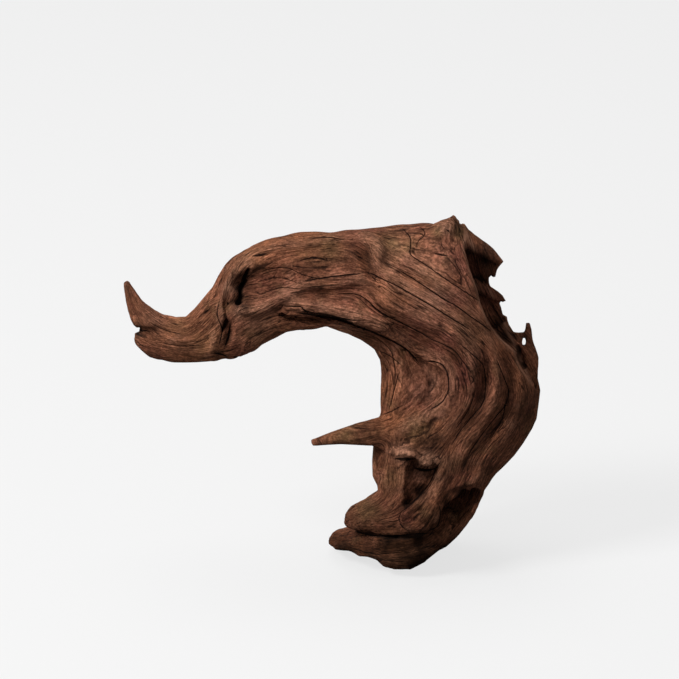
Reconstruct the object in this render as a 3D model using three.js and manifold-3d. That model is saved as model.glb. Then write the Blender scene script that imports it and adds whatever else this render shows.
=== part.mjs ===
import * as THREE from 'three';
import { mergeVertices } from 'three/addons/utils/BufferGeometryUtils.js';
import Module from 'manifold-3d';

// A hooked piece of driftwood standing on its two-lobed foot, in millimetres, Z up

// Lengths on the drawing plane are across, up and back from it; the plane leans back by this many degrees
const LEAN = 22;
const PLANE_FRONT = 18;
const CENTRE_ACROSS = 1.1;
const CENTRE_BACK = 1.25;

// Fineness of the surface
const CELL = 2.75;
const BLOCK = 4;
const GRID_MIN = [-192, -70, -8];
const GRID_MAX = [192, 85, 340];
const TRIANGLES = 11400;
const SHORT_EDGES_FIRST = 0.02;
const HOLD_TO_MIDDLE = 0.03;
const NODE_MARGIN = 0.15;
const MOST_TURN = 0.3;
const SLIMMEST = 0.05;

// How the skin is treated
const OUTLINE_ROUNDING = 3;
const TORN_ROUNDING = 1.2;
const TORN_FROM = 112;
const TORN_BLEND = 10;
const SHEET_BACK = 23.5;
const FOLD_SKIRT = 1.6;
const FOLD_FADE = 14;
const FOLD_TURN = 7;
const FOLD_BLEND = 18;
const BROAD_LUMPS = 1.3;
const SMALL_LUMPS = 0.7;
const HOLE = { across: 173.5, up: 207.5, back: 8, halfWidth: 1.7, halfHeight: 4 };
const CARVED_SKIN = [
  ['scoop', 3, 0], ['slot', 2, 0.8], ['armDish', 3, 0], ['undercut', 2.5, 0.8], ['elbowPit', 2, 0.8],
  ['valley', 7, 0], ['bowl', 6, 0], ['cave', 3.5, 0.8], ['pocket', 2, 0.8], ['earDent', 2.5, 0],
  ['backHollow', 7, 0], ['finGap', 2, 0.8],
];
const STANDING_OUT = [
  ['horn', 5], ['lowerLobe', 3.5], ['knob', 3.5], ['leftLip', 2], ['rightLip', 2], ['spike', 8],
  ['peak', 5],
];

const LIMBS = {
  arm: [
    [104.5, 258.5, 7, 52, 41.5], [61, 263, 4.5, 48.5, 39.5], [25, 263.5, 2, 45.5, 38],
    [-20, 262, 0, 45, 36], [-56, 254, 0, 43.5, 34], [-84.5, 234, 0, 38.5, 32.5],
    [-114.5, 214, 0, 28, 27], [-144, 209.5, 0, 22, 21.5], [-162, 208, 0, 17, 17],
  ],
  horn: [
    [-129.5, 209, 0, 20, 20], [-155, 215, 0, 18, 16], [-170, 230.5, -2, 12, 11.5],
    [-178, 245, -3.5, 7.5, 7.5], [-183.5, 258.5, -4.5, 4, 4],
  ],
  trunk: [
    [54, 261, 4.5, 49.5, 41.5], [97, 254, 7, 55, 43], [126, 213.5, 7, 48.5, 45],
    [139.5, 168.5, 7, 48.5, 47], [124, 126, 7, 56, 50.5], [95.5, 84.5, 7, 52, 52],
    [68.5, 47, 7, 43, 50.5], [56.5, 33.5, 5.5, 32.5, 45],
  ],
  lowerLobe: [
    [97, 36, -3.5, 23.5, 34], [70, 25, -9, 24.5, 36], [43, 20.5, -3.5, 18, 30.5],
    [18, 24.5, 12.5, 12, 23.5], [5.5, 25, 23.5, 9, 16],
  ],
  upperLobe: [
    [79, 57.5, -16, 25, 30.5], [47.5, 52, -14.5, 17, 25], [27, 49.5, -7, 13.5, 18],
    [20, 47.5, -3.5, 9, 12.5],
  ],
  heel: [
    [83.5, 60.5, 20, 36, 30.5], [95.5, 39.5, 34, 21.5, 18],
  ],
  column: [
    [7, 242, 14.5, 25, 21.5], [36, 228.5, 14.5, 23.5, 23.5], [61, 200, 14.5, 20, 25],
    [72, 164, 14.5, 29, 25], [68.5, 128, 12.5, 25, 27], [63, 96.5, 7, 25, 30.5],
    [63, 65, 0, 27, 34],
  ],
  spike: [
    [63, 128, 2, 17, 18], [39.5, 125.5, 0, 13.5, 13], [7, 120.5, -5.5, 7.5, 7.5],
    [-16, 116, -10, 4, 4],
  ],
  ear: [
    [56, 108, 11, 19, 21.5], [55, 88, 9, 19, 23.5],
  ],
  backWall: [
    [117, 306, 27, 14.5, 6.5], [138.5, 279, 32.5, 18, 6.5], [144, 245, 34, 18, 6.5],
    [158.5, 210.5, 30.5, 18, 6.5],
  ],
  fin: [
    [155.5, 218, 20, 16, 6.5], [171, 189, 12.5, 18, 6.5], [174.5, 162, 7, 18, 11],
    [164.5, 137, 3.5, 16, 14.5],
  ],
  roof: [
    [108, 304, 5.5, 10, 18], [122.5, 299, 11, 7, 18], [138.5, 290, 20, 5.5, 14.5],
    [151, 281.5, 27, 3.5, 9],
  ],
  ledge: [
    [128, 259, 21.5, 5.5, 8], [143, 251, 27, 4.5, 7], [158.5, 243.5, 29.5, 2, 3.5],
  ],
  leftLip: [
    [55, 109, -32.5, 3.5, 5.5], [64, 108.5, -38.5, 4, 6.5], [74, 106, -40.5, 3.5, 5.5],
  ],
  rightLip: [
    [77.5, 103, -41.5, 3.5, 5.5], [85.5, 100.5, -42.5, 4.5, 6.5], [95.5, 100, -40.5, 4.5, 5.5],
  ],
  knob: [
    [94.5, 75.5, -39.5, 6.5, 9], [86.5, 61, -45, 11.5, 12.5], [76.5, 48.5, -46, 15.5, 12.5],
    [68.5, 40.5, -43, 8, 9],
  ],
  finSpike: [
    [175.5, 192.5, 15.5, 7, 6], [176.5, 207, 15, 5, 5.5], [177, 218, 14, 3, 4],
    [176.5, 224.5, 14, 1.5, 2.5],
  ],
  peak: [
    [101, 305, 0, 12.5, 14.5], [106, 312.5, -1, 7.5, 10], [109, 318.5, -1, 2.5, 5],
  ],
};
const HOLLOWS = {
  scoop: [
    [-79, 254, -36, 13.5, 20], [-63, 259, -39.5, 19, 20], [-42.5, 263.5, -41.5, 16, 16],
    [-25, 267.5, -42.5, 11, 9],
  ],
  slot: [
    [-74.5, 269, -29, 2, 18], [-80, 254.5, -29, 4.5, 24.5], [-83.5, 241, -29, 2.5, 20],
  ],
  armDish: [
    [-27, 280, -39.5, 9, 11.5], [-6.5, 282.5, -41.5, 14.5, 19], [14.5, 280, -41.5, 13.5, 19],
    [23.5, 275.5, -39.5, 9, 14.5],
  ],
  undercut: [
    [-45, 231.5, -30.5, 2, 7], [-29, 227.5, -25, 6, 14.5], [-6.5, 226.5, -25, 7, 16],
    [18, 223, -25, 7, 18], [36, 217, -28, 6, 11.5], [52, 207, -33.5, 7, 8],
  ],
  elbowPit: [
    [-92, 241, -27, 2, 11], [-93.5, 229.5, -28, 3.5, 12.5], [-98, 218, -28, 2, 9],
  ],
  valley: [
    [59.5, 302.5, -27, 7, 7], [52, 288, -34, 8, 8], [48.5, 275.5, -39.5, 6.5, 5.5],
  ],
  bowl: [
    [56, 210.5, -39.5, 10, 21.5], [68.5, 193.5, -41.5, 22.5, 29], [80, 170, -43, 30.5, 36],
    [71, 148.5, -43, 21.5, 29], [54, 131.5, -39.5, 8, 16],
  ],
  cavity: [
    [108, 282.5, 5.5, 18, 27], [124, 254, 5.5, 18, 29], [140.5, 222.5, 5.5, 18, 27],
    [154, 198, 3.5, 14.5, 21.5], [165.5, 180, 2, 7, 11],
  ],
  cave: [
    [127, 70, -30.5, 7, 27], [115, 58.5, -34, 13.5, 38], [102.5, 41.5, -34, 11, 30.5],
  ],
  pocket: [
    [65, 95.5, -45, 9, 14.5], [78.5, 86.5, -48.5, 17, 25], [77.5, 72, -48.5, 14.5, 23.5],
    [69.5, 59.5, -48.5, 7, 14.5],
  ],
  earDent: [
    [43, 104.5, -12.5, 6, 12.5], [43, 92, -12.5, 5.5, 11.5],
  ],
  backHollow: [
    [108, 236, 57.5, 7, 11], [128, 204.5, 59.5, 11.5, 18], [135, 164, 63, 13.5, 20],
    [120.5, 119, 65, 11, 16], [104.5, 92, 63, 6.5, 10],
  ],
  crease: [
    [14.5, 36, -7, 1.5, 13.5], [35, 32.5, -27, 1.5, 10], [59.5, 30.5, -40.5, 1.5, 9],
    [83, 32.5, -42.5, 1, 7],
  ],
  notch: [
    [-187, 217, 0, 3.5, 36], [-174.5, 217.5, 0, 1.5, 36], [-165.5, 217, 0, 1, 36],
  ],
  finGap: [
    [167.5, 201.5, 7, 2, 12.5], [169.5, 193.5, 5.5, 3, 12.5], [173, 183.5, 3.5, 2, 9],
  ],
};
const FRONT_FOLDS = [
  { width: 8, height: 6.5, line: [
    [18, 302.5], [29, 300.5], [38, 292.5], [42.5, 281.5], [47.5, 271], [58.5, 261], [74, 251],
    [92, 241], [109, 230.5], [121.5, 217], [128.5, 200], [129.5, 180],
  ] },
  { width: 6.5, height: 5, line: [
    [-47, 244], [-23.5, 238.5], [-4.5, 236], [13.5, 231.5], [32.5, 227.5], [48.5, 220.5],
    [65, 208], [75.5, 200], [90, 195.5], [102.5, 189], [110.5, 178], [111.5, 164], [105.5, 149.5],
    [87.5, 140.5], [68.5, 131.5], [54, 121.5],
  ] },
  { width: 6, height: 3.5, line: [
    [-97, 241], [-89, 264.5], [-75.5, 279], [-57.5, 286], [-43, 290], [-25, 295], [-6.5, 299],
    [13.5, 299],
  ] },
  { width: 6.5, height: 4.5, line: [
    [-95.5, 225], [-84.5, 233], [-72, 238.5], [-59.5, 242], [-48.5, 248.5], [-36, 254],
    [-23.5, 259], [-2, 262], [21.5, 264.5], [38, 258.5],
  ] },
  { width: 8, height: 3, line: [
    [59.5, 285.5], [77.5, 272], [100, 257.5], [120.5, 242], [138.5, 219.5], [147.5, 192.5],
    [148.5, 164], [137.5, 137], [119.5, 111.5], [106, 92],
  ] },
  { width: 7, height: 3, line: [
    [47, 245], [65, 235], [85.5, 226], [104.5, 214], [118, 200], [124, 179], [122.5, 156.5],
    [110, 137], [97, 119], [90, 108],
  ] },
  { width: 6.5, height: -3, line: [
    [57.5, 273.5], [72, 261], [93.5, 246.5], [113.5, 233], [128, 212.5], [137, 189], [137, 164],
    [128, 142], [114.5, 124],
  ] },
  { width: 6.5, height: -3, line: [
    [34, 241], [54, 230.5], [75.5, 219.5], [95.5, 209], [108, 198], [116, 180], [114.5, 160],
    [103.5, 144], [88, 133],
  ] },
  { width: 7, height: -2.5, line: [
    [83, 282.5], [102.5, 270], [124, 252], [142, 228.5], [155.5, 200], [159.5, 169], [151, 142],
    [135, 115], [124, 95.5],
  ] },
  { width: 6.5, height: 2.5, line: [
    [83, 300.5], [97, 288], [113.5, 272], [131.5, 252], [151, 221.5], [167.5, 191], [173, 162],
    [164, 133], [146, 108],
  ] },
  { width: 5.5, height: -3, line: [
    [48.5, 203.5], [47.5, 173], [48.5, 141.5],
  ] },
  { width: 4.5, height: 2.5, line: [
    [59.5, 203.5], [63, 182], [57.5, 156.5], [53, 132.5],
  ] },
  { width: 6.5, height: 4.5, line: [
    [103.5, 104.5], [98, 84.5], [88, 70], [79, 61],
  ] },
  { width: 4.5, height: 3.5, line: [
    [52, 110.5], [65, 110.5], [75.5, 105.5], [90, 101], [102.5, 101],
  ] },
  { width: 6.5, height: 3.5, line: [
    [120.5, 79], [133, 84.5], [146, 97],
  ] },
  { width: 5.5, height: -3.5, line: [
    [-95.5, 248.5], [-91, 232], [-93.5, 214], [-99, 196],
  ] },
  { width: 5.5, height: 3.5, line: [
    [-104.5, 248.5], [-100, 230.5], [-103.5, 210.5], [-110, 192.5],
  ] },
  { width: 6.5, height: -3, line: [
    [-156.5, 225], [-137, 218], [-119, 214],
  ] },
  { width: 6.5, height: 3, line: [
    [-155, 210.5], [-131.5, 206], [-113.5, 210.5],
  ] },
  { width: 5.5, height: 2.5, line: [
    [47, 77.5], [39.5, 65], [23.5, 56],
  ] },
  { width: 5.5, height: -3, line: [
    [56.5, 92], [52, 74], [41.5, 59.5],
  ] },
  { width: 6.5, height: 3, line: [
    [21.5, 14.5], [47, 9], [74, 14.5], [97, 29],
  ] },
];
const BACK_FOLDS = [
  { width: 9, height: 3.5, line: [
    [-137, 218], [-83, 254], [-29, 282.5], [34, 290], [88, 279], [124, 245], [144, 200],
    [147.5, 155], [131.5, 119], [106, 74],
  ] },
  { width: 7, height: -3.5, line: [
    [-101, 222.5], [-47, 258.5], [7, 270], [61, 258.5], [97, 227], [108, 182], [101, 128],
    [83.5, 83],
  ] },
  { width: 8, height: 3.5, line: [
    [-74, 227], [-20, 239.5], [34, 234], [70, 204.5], [83.5, 164], [79, 119], [68.5, 74],
  ] },
];
const OUTLINE = [
  [-187, 261.5], [-184, 262.5], [-181, 261.5], [-178, 256.5], [-174.5, 251], [-169, 245],
  [-161.5, 240.5], [-155, 235.5], [-150.5, 233], [-140.5, 229.5], [-131, 229.5], [-123, 237],
  [-116.5, 245], [-107, 256.5], [-103, 264.5], [-97, 275.5], [-91, 284.5], [-82, 291.5],
  [-66.5, 299], [-47, 304.5], [-29, 307], [-2, 306.5], [18, 308], [43, 310], [61, 312.5],
  [83.5, 314.5], [97, 316], [102.5, 317.5], [106.5, 319.5], [108.5, 321], [111.5, 317], [117, 316],
  [122.5, 308], [127, 304], [133.5, 299.5], [144.5, 291.5], [148, 287.5], [154.5, 279.5],
  [148.5, 272.5], [147, 265], [141.5, 268.5], [141.5, 261.5], [142.5, 257.5], [149.5, 253],
  [154, 249], [158, 242.5], [150, 244.5], [152.5, 238], [154.5, 232], [158, 230], [159.5, 223],
  [164, 216], [168.5, 215.5], [175, 216], [175, 222], [176, 226], [178.5, 223], [182.5, 207.5],
  [186.5, 193], [186, 174.5], [188.5, 163.5], [187, 148.5], [185, 137], [181.5, 129.5],
  [172.5, 116], [164, 104], [148, 87.5], [137.5, 73], [137, 68.5], [129.5, 52], [120.5, 38.5],
  [113, 29.5], [104, 21], [96.5, 18], [84.5, 7], [71, -0.5], [56, 0.5], [47, 3.5], [40.5, 8.5],
  [32.5, 12], [25, 12.5], [16, 16], [3, 17.5], [-3, 22], [-3, 27.5], [1, 35], [11, 45], [11, 50.5],
  [16.5, 58], [24, 61.5], [42, 71], [41.5, 76.5], [37, 85], [35.5, 99.5], [36.5, 112.5],
  [8.5, 114], [-12.5, 112.5], [-17.5, 113], [-20.5, 119], [-2, 126.5], [20.5, 134.5], [43, 139],
  [44, 144], [43.5, 168.5], [43, 190], [38.5, 200], [27, 208], [14.5, 214], [-2, 216],
  [-15.5, 217.5], [-29, 217], [-40.5, 215.5], [-51.5, 209.5], [-63, 204], [-69.5, 197],
  [-74.5, 194], [-80.5, 190.5], [-83.5, 188], [-95.5, 188.5], [-108.5, 190], [-123, 189],
  [-143, 188.5], [-157.5, 190.5], [-164, 192.5], [-170.5, 198.5], [-176, 203.5], [-179, 207.5],
  [-179, 212.5], [-181.5, 218.5], [-172, 216.5], [-176.5, 218.5], [-179, 224.5], [-182, 229],
  [-185, 241], [-187, 255.5],
];
const OPEN_SIDE = [
  [97, 344], [117, 321.5], [119.5, 306], [118, 290], [123.5, 272], [130.5, 252], [133, 240.5],
  [139.5, 225], [151, 210.5], [164, 199], [167.5, 187], [180, 169], [188, 160], [241, 155],
  [241, 380], [97, 380],
];

const RADIANS = Math.PI / 180;
const LEAN_COS = Math.cos(LEAN * RADIANS);
const LEAN_SIN = Math.sin(LEAN * RADIANS);

// Points on the leaning drawing plane, and back again

function seen(across, up, back) {
  return new THREE.Vector3(across, back, (up - (back + PLANE_FRONT) * LEAN_SIN) / LEAN_COS);
}

function heightOnPlane(y, z) {
  return z * LEAN_COS + (y + PLANE_FRONT) * LEAN_SIN;
}

// Soft joins and soft cuts of distances

function join(a, b, softness) {
  const h = Math.min(Math.max(0.5 + (0.5 * (b - a)) / softness, 0), 1);
  return b * (1 - h) + a * h - softness * h * (1 - h);
}

function cut(a, b, softness) {
  return -join(-a, -b, softness);
}

// A smooth row of numbers through the given rows

function smoothRows(rows, parts) {
  const result = [];
  for (let i = 0; i < rows.length - 1; i += 1) {
    const before = rows[Math.max(i - 1, 0)];
    const after = rows[Math.min(i + 2, rows.length - 1)];
    for (let j = 0; j < parts; j += 1) {
      const t = j / parts;
      result.push(rows[i].map((value, k) => {
        const slopeIn = (rows[i + 1][k] - before[k]) / 2;
        const slopeOut = (after[k] - value) / 2;
        const rise = rows[i + 1][k] - value;
        return value + slopeIn * t + (3 * rise - 2 * slopeIn - slopeOut) * t * t
          + (slopeIn + slopeOut - 2 * rise) * t * t * t;
      }));
    }
  }
  result.push(rows[rows.length - 1]);
  return result;
}

// One stretch of a limb: an oval that changes size between two stations

function makeStretch(from, to) {
  const start = seen(from[0], from[1], from[2]);
  const end = seen(to[0], to[1], to[2]);
  const along = end.clone().sub(start);
  const length = along.length();
  along.divideScalar(length);
  const deep = new THREE.Vector3(0, 1, 0);
  deep.addScaledVector(along, -deep.dot(along)).normalize();
  const wide = new THREE.Vector3().crossVectors(along, deep);
  const reach = Math.max(from[3], from[4], to[3], to[4]);
  const box = new THREE.Box3().setFromPoints([start, end]).expandByScalar(reach);
  return { start, along, deep, wide, length, from, to, box };
}

function makeLimb(rows) {
  const stations = smoothRows(rows, 2);
  const stretches = [];
  const box = new THREE.Box3();
  for (let i = 0; i < stations.length - 1; i += 1) {
    const stretch = makeStretch(stations[i], stations[i + 1]);
    stretches.push(stretch);
    box.union(stretch.box);
  }
  return { stretches, box };
}

function boxGap(box, x, y, z) {
  const dx = Math.max(box.min.x - x, x - box.max.x, 0);
  const dy = Math.max(box.min.y - y, y - box.max.y, 0);
  const dz = Math.max(box.min.z - z, z - box.max.z, 0);
  return Math.sqrt(dx * dx + dy * dy + dz * dz);
}

function stretchDistance(s, x, y, z) {
  const px = x - s.start.x;
  const py = y - s.start.y;
  const pz = z - s.start.z;
  const walked = px * s.along.x + py * s.along.y + pz * s.along.z;
  const t = Math.min(Math.max(walked / s.length, 0), 1);
  const width = s.from[3] + (s.to[3] - s.from[3]) * t;
  const depth = s.from[4] + (s.to[4] - s.from[4]) * t;
  const end = Math.min(width, depth);
  const a = (walked - t * s.length) / end;
  const w = (px * s.wide.x + py * s.wide.y + pz * s.wide.z) / width;
  const d = (px * s.deep.x + py * s.deep.y + pz * s.deep.z) / depth;
  const near = Math.sqrt(a * a + w * w + d * d);
  if (near < 0.001) {
    return -end;
  }
  const slope = Math.sqrt((a / end) ** 2 + (w / width) ** 2 + (d / depth) ** 2);
  return (near * (near - 1)) / slope;
}

function limbDistance(limb, x, y, z, limit) {
  if (boxGap(limb.box, x, y, z) > limit) {
    return limit;
  }
  let best = Infinity;
  for (const stretch of limb.stretches) {
    if (boxGap(stretch.box, x, y, z) <= Math.max(best, 0)) {
      best = Math.min(best, stretchDistance(stretch, x, y, z));
    }
  }
  return best;
}

// Folds: raised or sunk lines on the skin, fading out at both ends

function makeFold({ width, height, line }) {
  const points = smoothRows(line, 3);
  const walked = [0];
  for (let i = 1; i < points.length; i += 1) {
    const step = Math.hypot(points[i][0] - points[i - 1][0], points[i][1] - points[i - 1][1]);
    walked.push(walked[i - 1] + step);
  }
  const box = new THREE.Box2();
  points.forEach(([across, up]) => box.expandByPoint(new THREE.Vector2(across, up)));
  box.expandByScalar(width * FOLD_SKIRT);
  return { width, height, points, walked, box };
}

function foldHeight(fold, across, up) {
  if (across < fold.box.min.x || across > fold.box.max.x || up < fold.box.min.y || up > fold.box.max.y) {
    return 0;
  }
  const total = fold.walked[fold.walked.length - 1];
  let nearest = Infinity;
  let place = 0;
  for (let i = 0; i < fold.points.length - 1; i += 1) {
    const [ax, ay] = fold.points[i];
    const ex = fold.points[i + 1][0] - ax;
    const ey = fold.points[i + 1][1] - ay;
    const t = Math.min(Math.max(((across - ax) * ex + (up - ay) * ey) / (ex * ex + ey * ey), 0), 1);
    const gap = (across - ax - t * ex) ** 2 + (up - ay - t * ey) ** 2;
    if (gap < nearest) {
      nearest = gap;
      place = fold.walked[i] + t * (fold.walked[i + 1] - fold.walked[i]);
    }
  }
  const swell = Math.max(1 - nearest / (fold.width * FOLD_SKIRT) ** 2, 0);
  const fade = Math.min(place, total - place, FOLD_FADE) / FOLD_FADE;
  return fold.height * swell * swell * (0.25 + 0.75 * fade);
}

function foldsHeight(folds, across, up) {
  let height = 0;
  for (const fold of folds) {
    height += foldHeight(fold, across, up);
  }
  return height;
}

// Signed distance to a closed line on the drawing plane, negative inside

function insideLine(line, across, up) {
  let nearest = Infinity;
  let inside = false;
  for (let i = 0; i < line.length; i += 1) {
    const [ax, ay] = line[i];
    const [bx, by] = line[(i + 1) % line.length];
    const ex = bx - ax;
    const ey = by - ay;
    const t = Math.min(Math.max(((across - ax) * ex + (up - ay) * ey) / (ex * ex + ey * ey), 0), 1);
    nearest = Math.min(nearest, (across - ax - t * ex) ** 2 + (up - ay - t * ey) ** 2);
    if (ay <= up !== by <= up && across < ax + ((up - ay) / ey) * ex) {
      inside = !inside;
    }
  }
  return inside ? -Math.sqrt(nearest) : Math.sqrt(nearest);
}

// The whole body as one signed distance, negative in the wood

const limbs = Object.fromEntries(Object.entries(LIMBS).map(([name, rows]) => [name, makeLimb(rows)]));
const hollows = Object.fromEntries(Object.entries(HOLLOWS).map(([name, rows]) => [name, makeLimb(rows)]));
const frontFolds = FRONT_FOLDS.map(makeFold);
const backFolds = BACK_FOLDS.map(makeFold);

function add(body, name, softness, point) {
  const limit = body + softness;
  return join(body, limbDistance(limbs[name], point.x, point.y, point.z, limit), softness);
}

function carve(body, name, softness, ragged, point) {
  const limit = softness - body + ragged;
  const hollow = limbDistance(hollows[name], point.x, point.y, point.z, limit);
  return cut(body, -hollow - ragged * raggedness(point), softness);
}

// Gentle uneven swellings of the grown wood

function lumpHeight({ x, y, z }) {
  const broad = Math.sin(x / 9 + 1.7 * Math.sin(z / 23)) * Math.sin(z / 11 + 1.3 * Math.sin(x / 27) + y / 13);
  const small = Math.sin(x / 5.3 + z / 9.1 + 1.5 * Math.sin(y / 8)) * Math.sin(z / 6.1 - x / 12);
  return BROAD_LUMPS * broad + SMALL_LUMPS * small;
}

// Uneven edges of the hollows

function raggedness({ x, y, z }) {
  return Math.sin(x / 3.1 + 2 * Math.sin(z / 4.7)) * Math.sin(z / 3.3 + 1.5 * Math.sin(x / 5.3) + y / 3.7);
}

function bodyDistance(point) {
  const up = heightOnPlane(point.y, point.z);
  const facing = Math.min(Math.max((FOLD_TURN - point.y) / FOLD_BLEND, 0), 1);
  const front = facing > 0 ? facing * foldsHeight(frontFolds, point.x, up) : 0;
  const turned = Math.min(Math.max((point.y - FOLD_TURN) / FOLD_BLEND, 0), 1);
  const rear = turned > 0 ? turned * foldsHeight(backFolds, point.x, up) : 0;
  const lumps = lumpHeight(point);
  const { x, y, z } = point;
  let body = limbDistance(limbs.arm, x, y, z, Infinity);
  body = join(body, limbDistance(limbs.trunk, x, y, z, Infinity), 12) - front - rear - lumps;
  const openSide = Math.max(insideLine(OPEN_SIDE, x, up), y - SHEET_BACK);
  body = cut(body, -openSide, 2);
  body = add(body, 'upperLobe', 4.5, point);
  body = add(body, 'heel', 10, point);
  body = join(body, limbDistance(limbs.column, x, y, z, Infinity) - 0.6 * (front + lumps), 4.5);
  body = add(body, 'ear', 5, point);
  body = carve(body, 'cavity', 3.5, 0.8, point);
  body = add(body, 'backWall', 3.5, point);
  body = add(body, 'fin', 2.5, point);
  body = add(body, 'roof', 3.5, point);
  body = add(body, 'ledge', 2, point);
  for (const [name, softness, ragged] of CARVED_SKIN) {
    body = carve(body, name, softness, ragged, point);
  }
  for (const [name, softness] of STANDING_OUT) {
    body = add(body, name, softness, point);
  }
  body = carve(body, 'crease', 2, 0.8, point);
  body = carve(body, 'notch', 1, 0, point);
  const torn = Math.min(Math.max((x - TORN_FROM) / TORN_BLEND, 0), 1);
  const rounding = OUTLINE_ROUNDING + (TORN_ROUNDING - OUTLINE_ROUNDING) * torn;
  body = cut(body, insideLine(OUTLINE, x, up), rounding);
  return add(body, 'finSpike', 1.5, point);
}

// The surface of the body, found on a grid of cells cut into six wedges each

function faceNormal(points, [a, b, c]) {
  const edge = points[b].clone().sub(points[a]);
  return edge.cross(points[c].clone().sub(points[a]));
}

const CORNERS = [0, 1, 2, 3, 4, 5, 6, 7].map((c) => [c & 1, (c >> 1) & 1, (c >> 2) & 1]);
const WEDGES = [
  [0, 1, 3, 7], [0, 3, 2, 7], [0, 2, 6, 7], [0, 6, 4, 7], [0, 4, 5, 7], [0, 5, 1, 7],
];

function sampleGrid(min, max) {
  const counts = [0, 1, 2].map((k) => Math.ceil((max[k] - min[k]) / CELL / BLOCK) * BLOCK + 1);
  const values = new Float32Array(counts[0] * counts[1] * counts[2]).fill(CELL * BLOCK);
  const index = (i, j, k) => i + counts[0] * (j + counts[1] * k);
  const at = (i, j, k) => new THREE.Vector3(min[0] + i * CELL, min[1] + j * CELL, min[2] + k * CELL);
  const far = CELL * BLOCK * 1.7;
  for (let bk = 0; bk < counts[2] - 1; bk += BLOCK) {
    for (let bj = 0; bj < counts[1] - 1; bj += BLOCK) {
      for (let bi = 0; bi < counts[0] - 1; bi += BLOCK) {
        const middle = bodyDistance(at(bi + BLOCK / 2, bj + BLOCK / 2, bk + BLOCK / 2));
        const near = Math.abs(middle) < far;
        for (let k = bk; k <= bk + BLOCK; k += 1) {
          for (let j = bj; j <= bj + BLOCK; j += 1) {
            for (let i = bi; i <= bi + BLOCK; i += 1) {
              const place = index(i, j, k);
              if (near || Math.abs(values[place]) >= CELL * BLOCK) {
                values[place] = near ? bodyDistance(at(i, j, k)) : Math.sign(middle) * CELL * BLOCK;
              }
            }
          }
        }
      }
    }
  }
  return { counts, values, index, at };
}

// Points where the surface crosses the edges of the cells, each found once

class Crossings {
  constructor(grid) {
    this.grid = grid;
    this.points = [];
    this.found = new Map();
  }

  between(a, b) {
    const { values, index, at } = this.grid;
    const [low, high] = index(...a) < index(...b) ? [a, b] : [b, a];
    const key = index(...low) * 8 + (high[0] - low[0]) + 2 * (high[1] - low[1]) + 4 * (high[2] - low[2]);
    if (!this.found.has(key)) {
      const inner = values[index(...low)];
      const outer = values[index(...high)];
      const t = Math.min(Math.max(inner / (inner - outer), NODE_MARGIN), 1 - NODE_MARGIN);
      this.found.set(key, this.points.length);
      this.points.push(at(...low).lerp(at(...high), t));
    }
    return this.found.get(key);
  }
}

function middleOf(corners, at) {
  const middle = new THREE.Vector3();
  corners.forEach((c) => middle.add(at(...c)));
  return middle.divideScalar(corners.length);
}

function wedgeFaces(corners, grid, crossings) {
  const inside = corners.filter((c) => grid.values[grid.index(...c)] < 0);
  const outside = corners.filter((c) => !inside.includes(c));
  if (inside.length === 0 || outside.length === 0) {
    return [];
  }
  const ring = inside.length === 2
    ? [[0, 0], [0, 1], [1, 1], [1, 0]].map(([i, o]) => crossings.between(inside[i], outside[o]))
    : inside.flatMap((i) => outside.map((o) => crossings.between(i, o)));
  const outward = middleOf(outside, grid.at).sub(middleOf(inside, grid.at));
  const faces = [];
  for (let n = 1; n < ring.length - 1; n += 1) {
    const face = [ring[0], ring[n], ring[n + 1]];
    faces.push(faceNormal(crossings.points, face).dot(outward) > 0 ? face : [face[0], face[2], face[1]]);
  }
  return faces;
}

function cellCrosses(cell, { values, index }) {
  const inside = cell.filter((c) => values[index(...c)] < 0).length;
  return inside > 0 && inside < cell.length;
}

function surfaceOf(grid) {
  const crossings = new Crossings(grid);
  const faces = [];
  const [across, deep, high] = grid.counts;
  for (let k = 0; k < high - 1; k += 1) {
    for (let j = 0; j < deep - 1; j += 1) {
      for (let i = 0; i < across - 1; i += 1) {
        const cell = CORNERS.map(([a, b, c]) => [i + a, j + b, k + c]);
        if (cellCrosses(cell, grid)) {
          WEDGES.forEach((wedge) => faces.push(...wedgeFaces(wedge.map((c) => cell[c]), grid, crossings)));
        }
      }
    }
  }
  return { points: crossings.points, faces };
}

// The outer skin only: small closed bubbles inside the wood are filled

function outerSkin({ points, faces }) {
  const leader = points.map((point, v) => v);
  const leaderOf = (v) => {
    let top = v;
    while (leader[top] !== top) {
      leader[top] = leader[leader[top]];
      top = leader[top];
    }
    return top;
  };
  faces.forEach(([a, b, c]) => {
    leader[leaderOf(b)] = leaderOf(a);
    leader[leaderOf(c)] = leaderOf(a);
  });
  const sizes = new Map();
  faces.forEach(([a]) => sizes.set(leaderOf(a), (sizes.get(leaderOf(a)) ?? 0) + 1));
  const largest = [...sizes.keys()].reduce((a, b) => (sizes.get(a) > sizes.get(b) ? a : b));
  return { points, faces: faces.filter(([a]) => leaderOf(a) === largest) };
}

// Evens out the spacing of the points

function relax({ points, faces }) {
  const totals = points.map(() => new THREE.Vector3());
  const counts = new Uint16Array(points.length);
  faces.forEach((face) => face.forEach((v, i) => {
    totals[v].add(points[face[(i + 1) % 3]]);
    counts[v] += 1;
  }));
  const moved = points.map((point, v) => (counts[v] ? totals[v].divideScalar(counts[v]).lerp(point, 0.4) : point));
  return { points: moved, faces };
}

// Puts points back on the surface of the body

function settle(point) {
  const distance = bodyDistance(point);
  const slope = new THREE.Vector3(
    bodyDistance(point.clone().add(new THREE.Vector3(0.3, 0, 0))) - distance,
    bodyDistance(point.clone().add(new THREE.Vector3(0, 0.3, 0))) - distance,
    bodyDistance(point.clone().add(new THREE.Vector3(0, 0, 0.3))) - distance,
  ).divideScalar(0.3);
  const step = slope.multiplyScalar(-distance / Math.max(slope.lengthSq(), 0.25)).clampLength(0, 1);
  return point.clone().add(step);
}

// Fewer triangles: edges are drawn together where that bends the surface least

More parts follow.
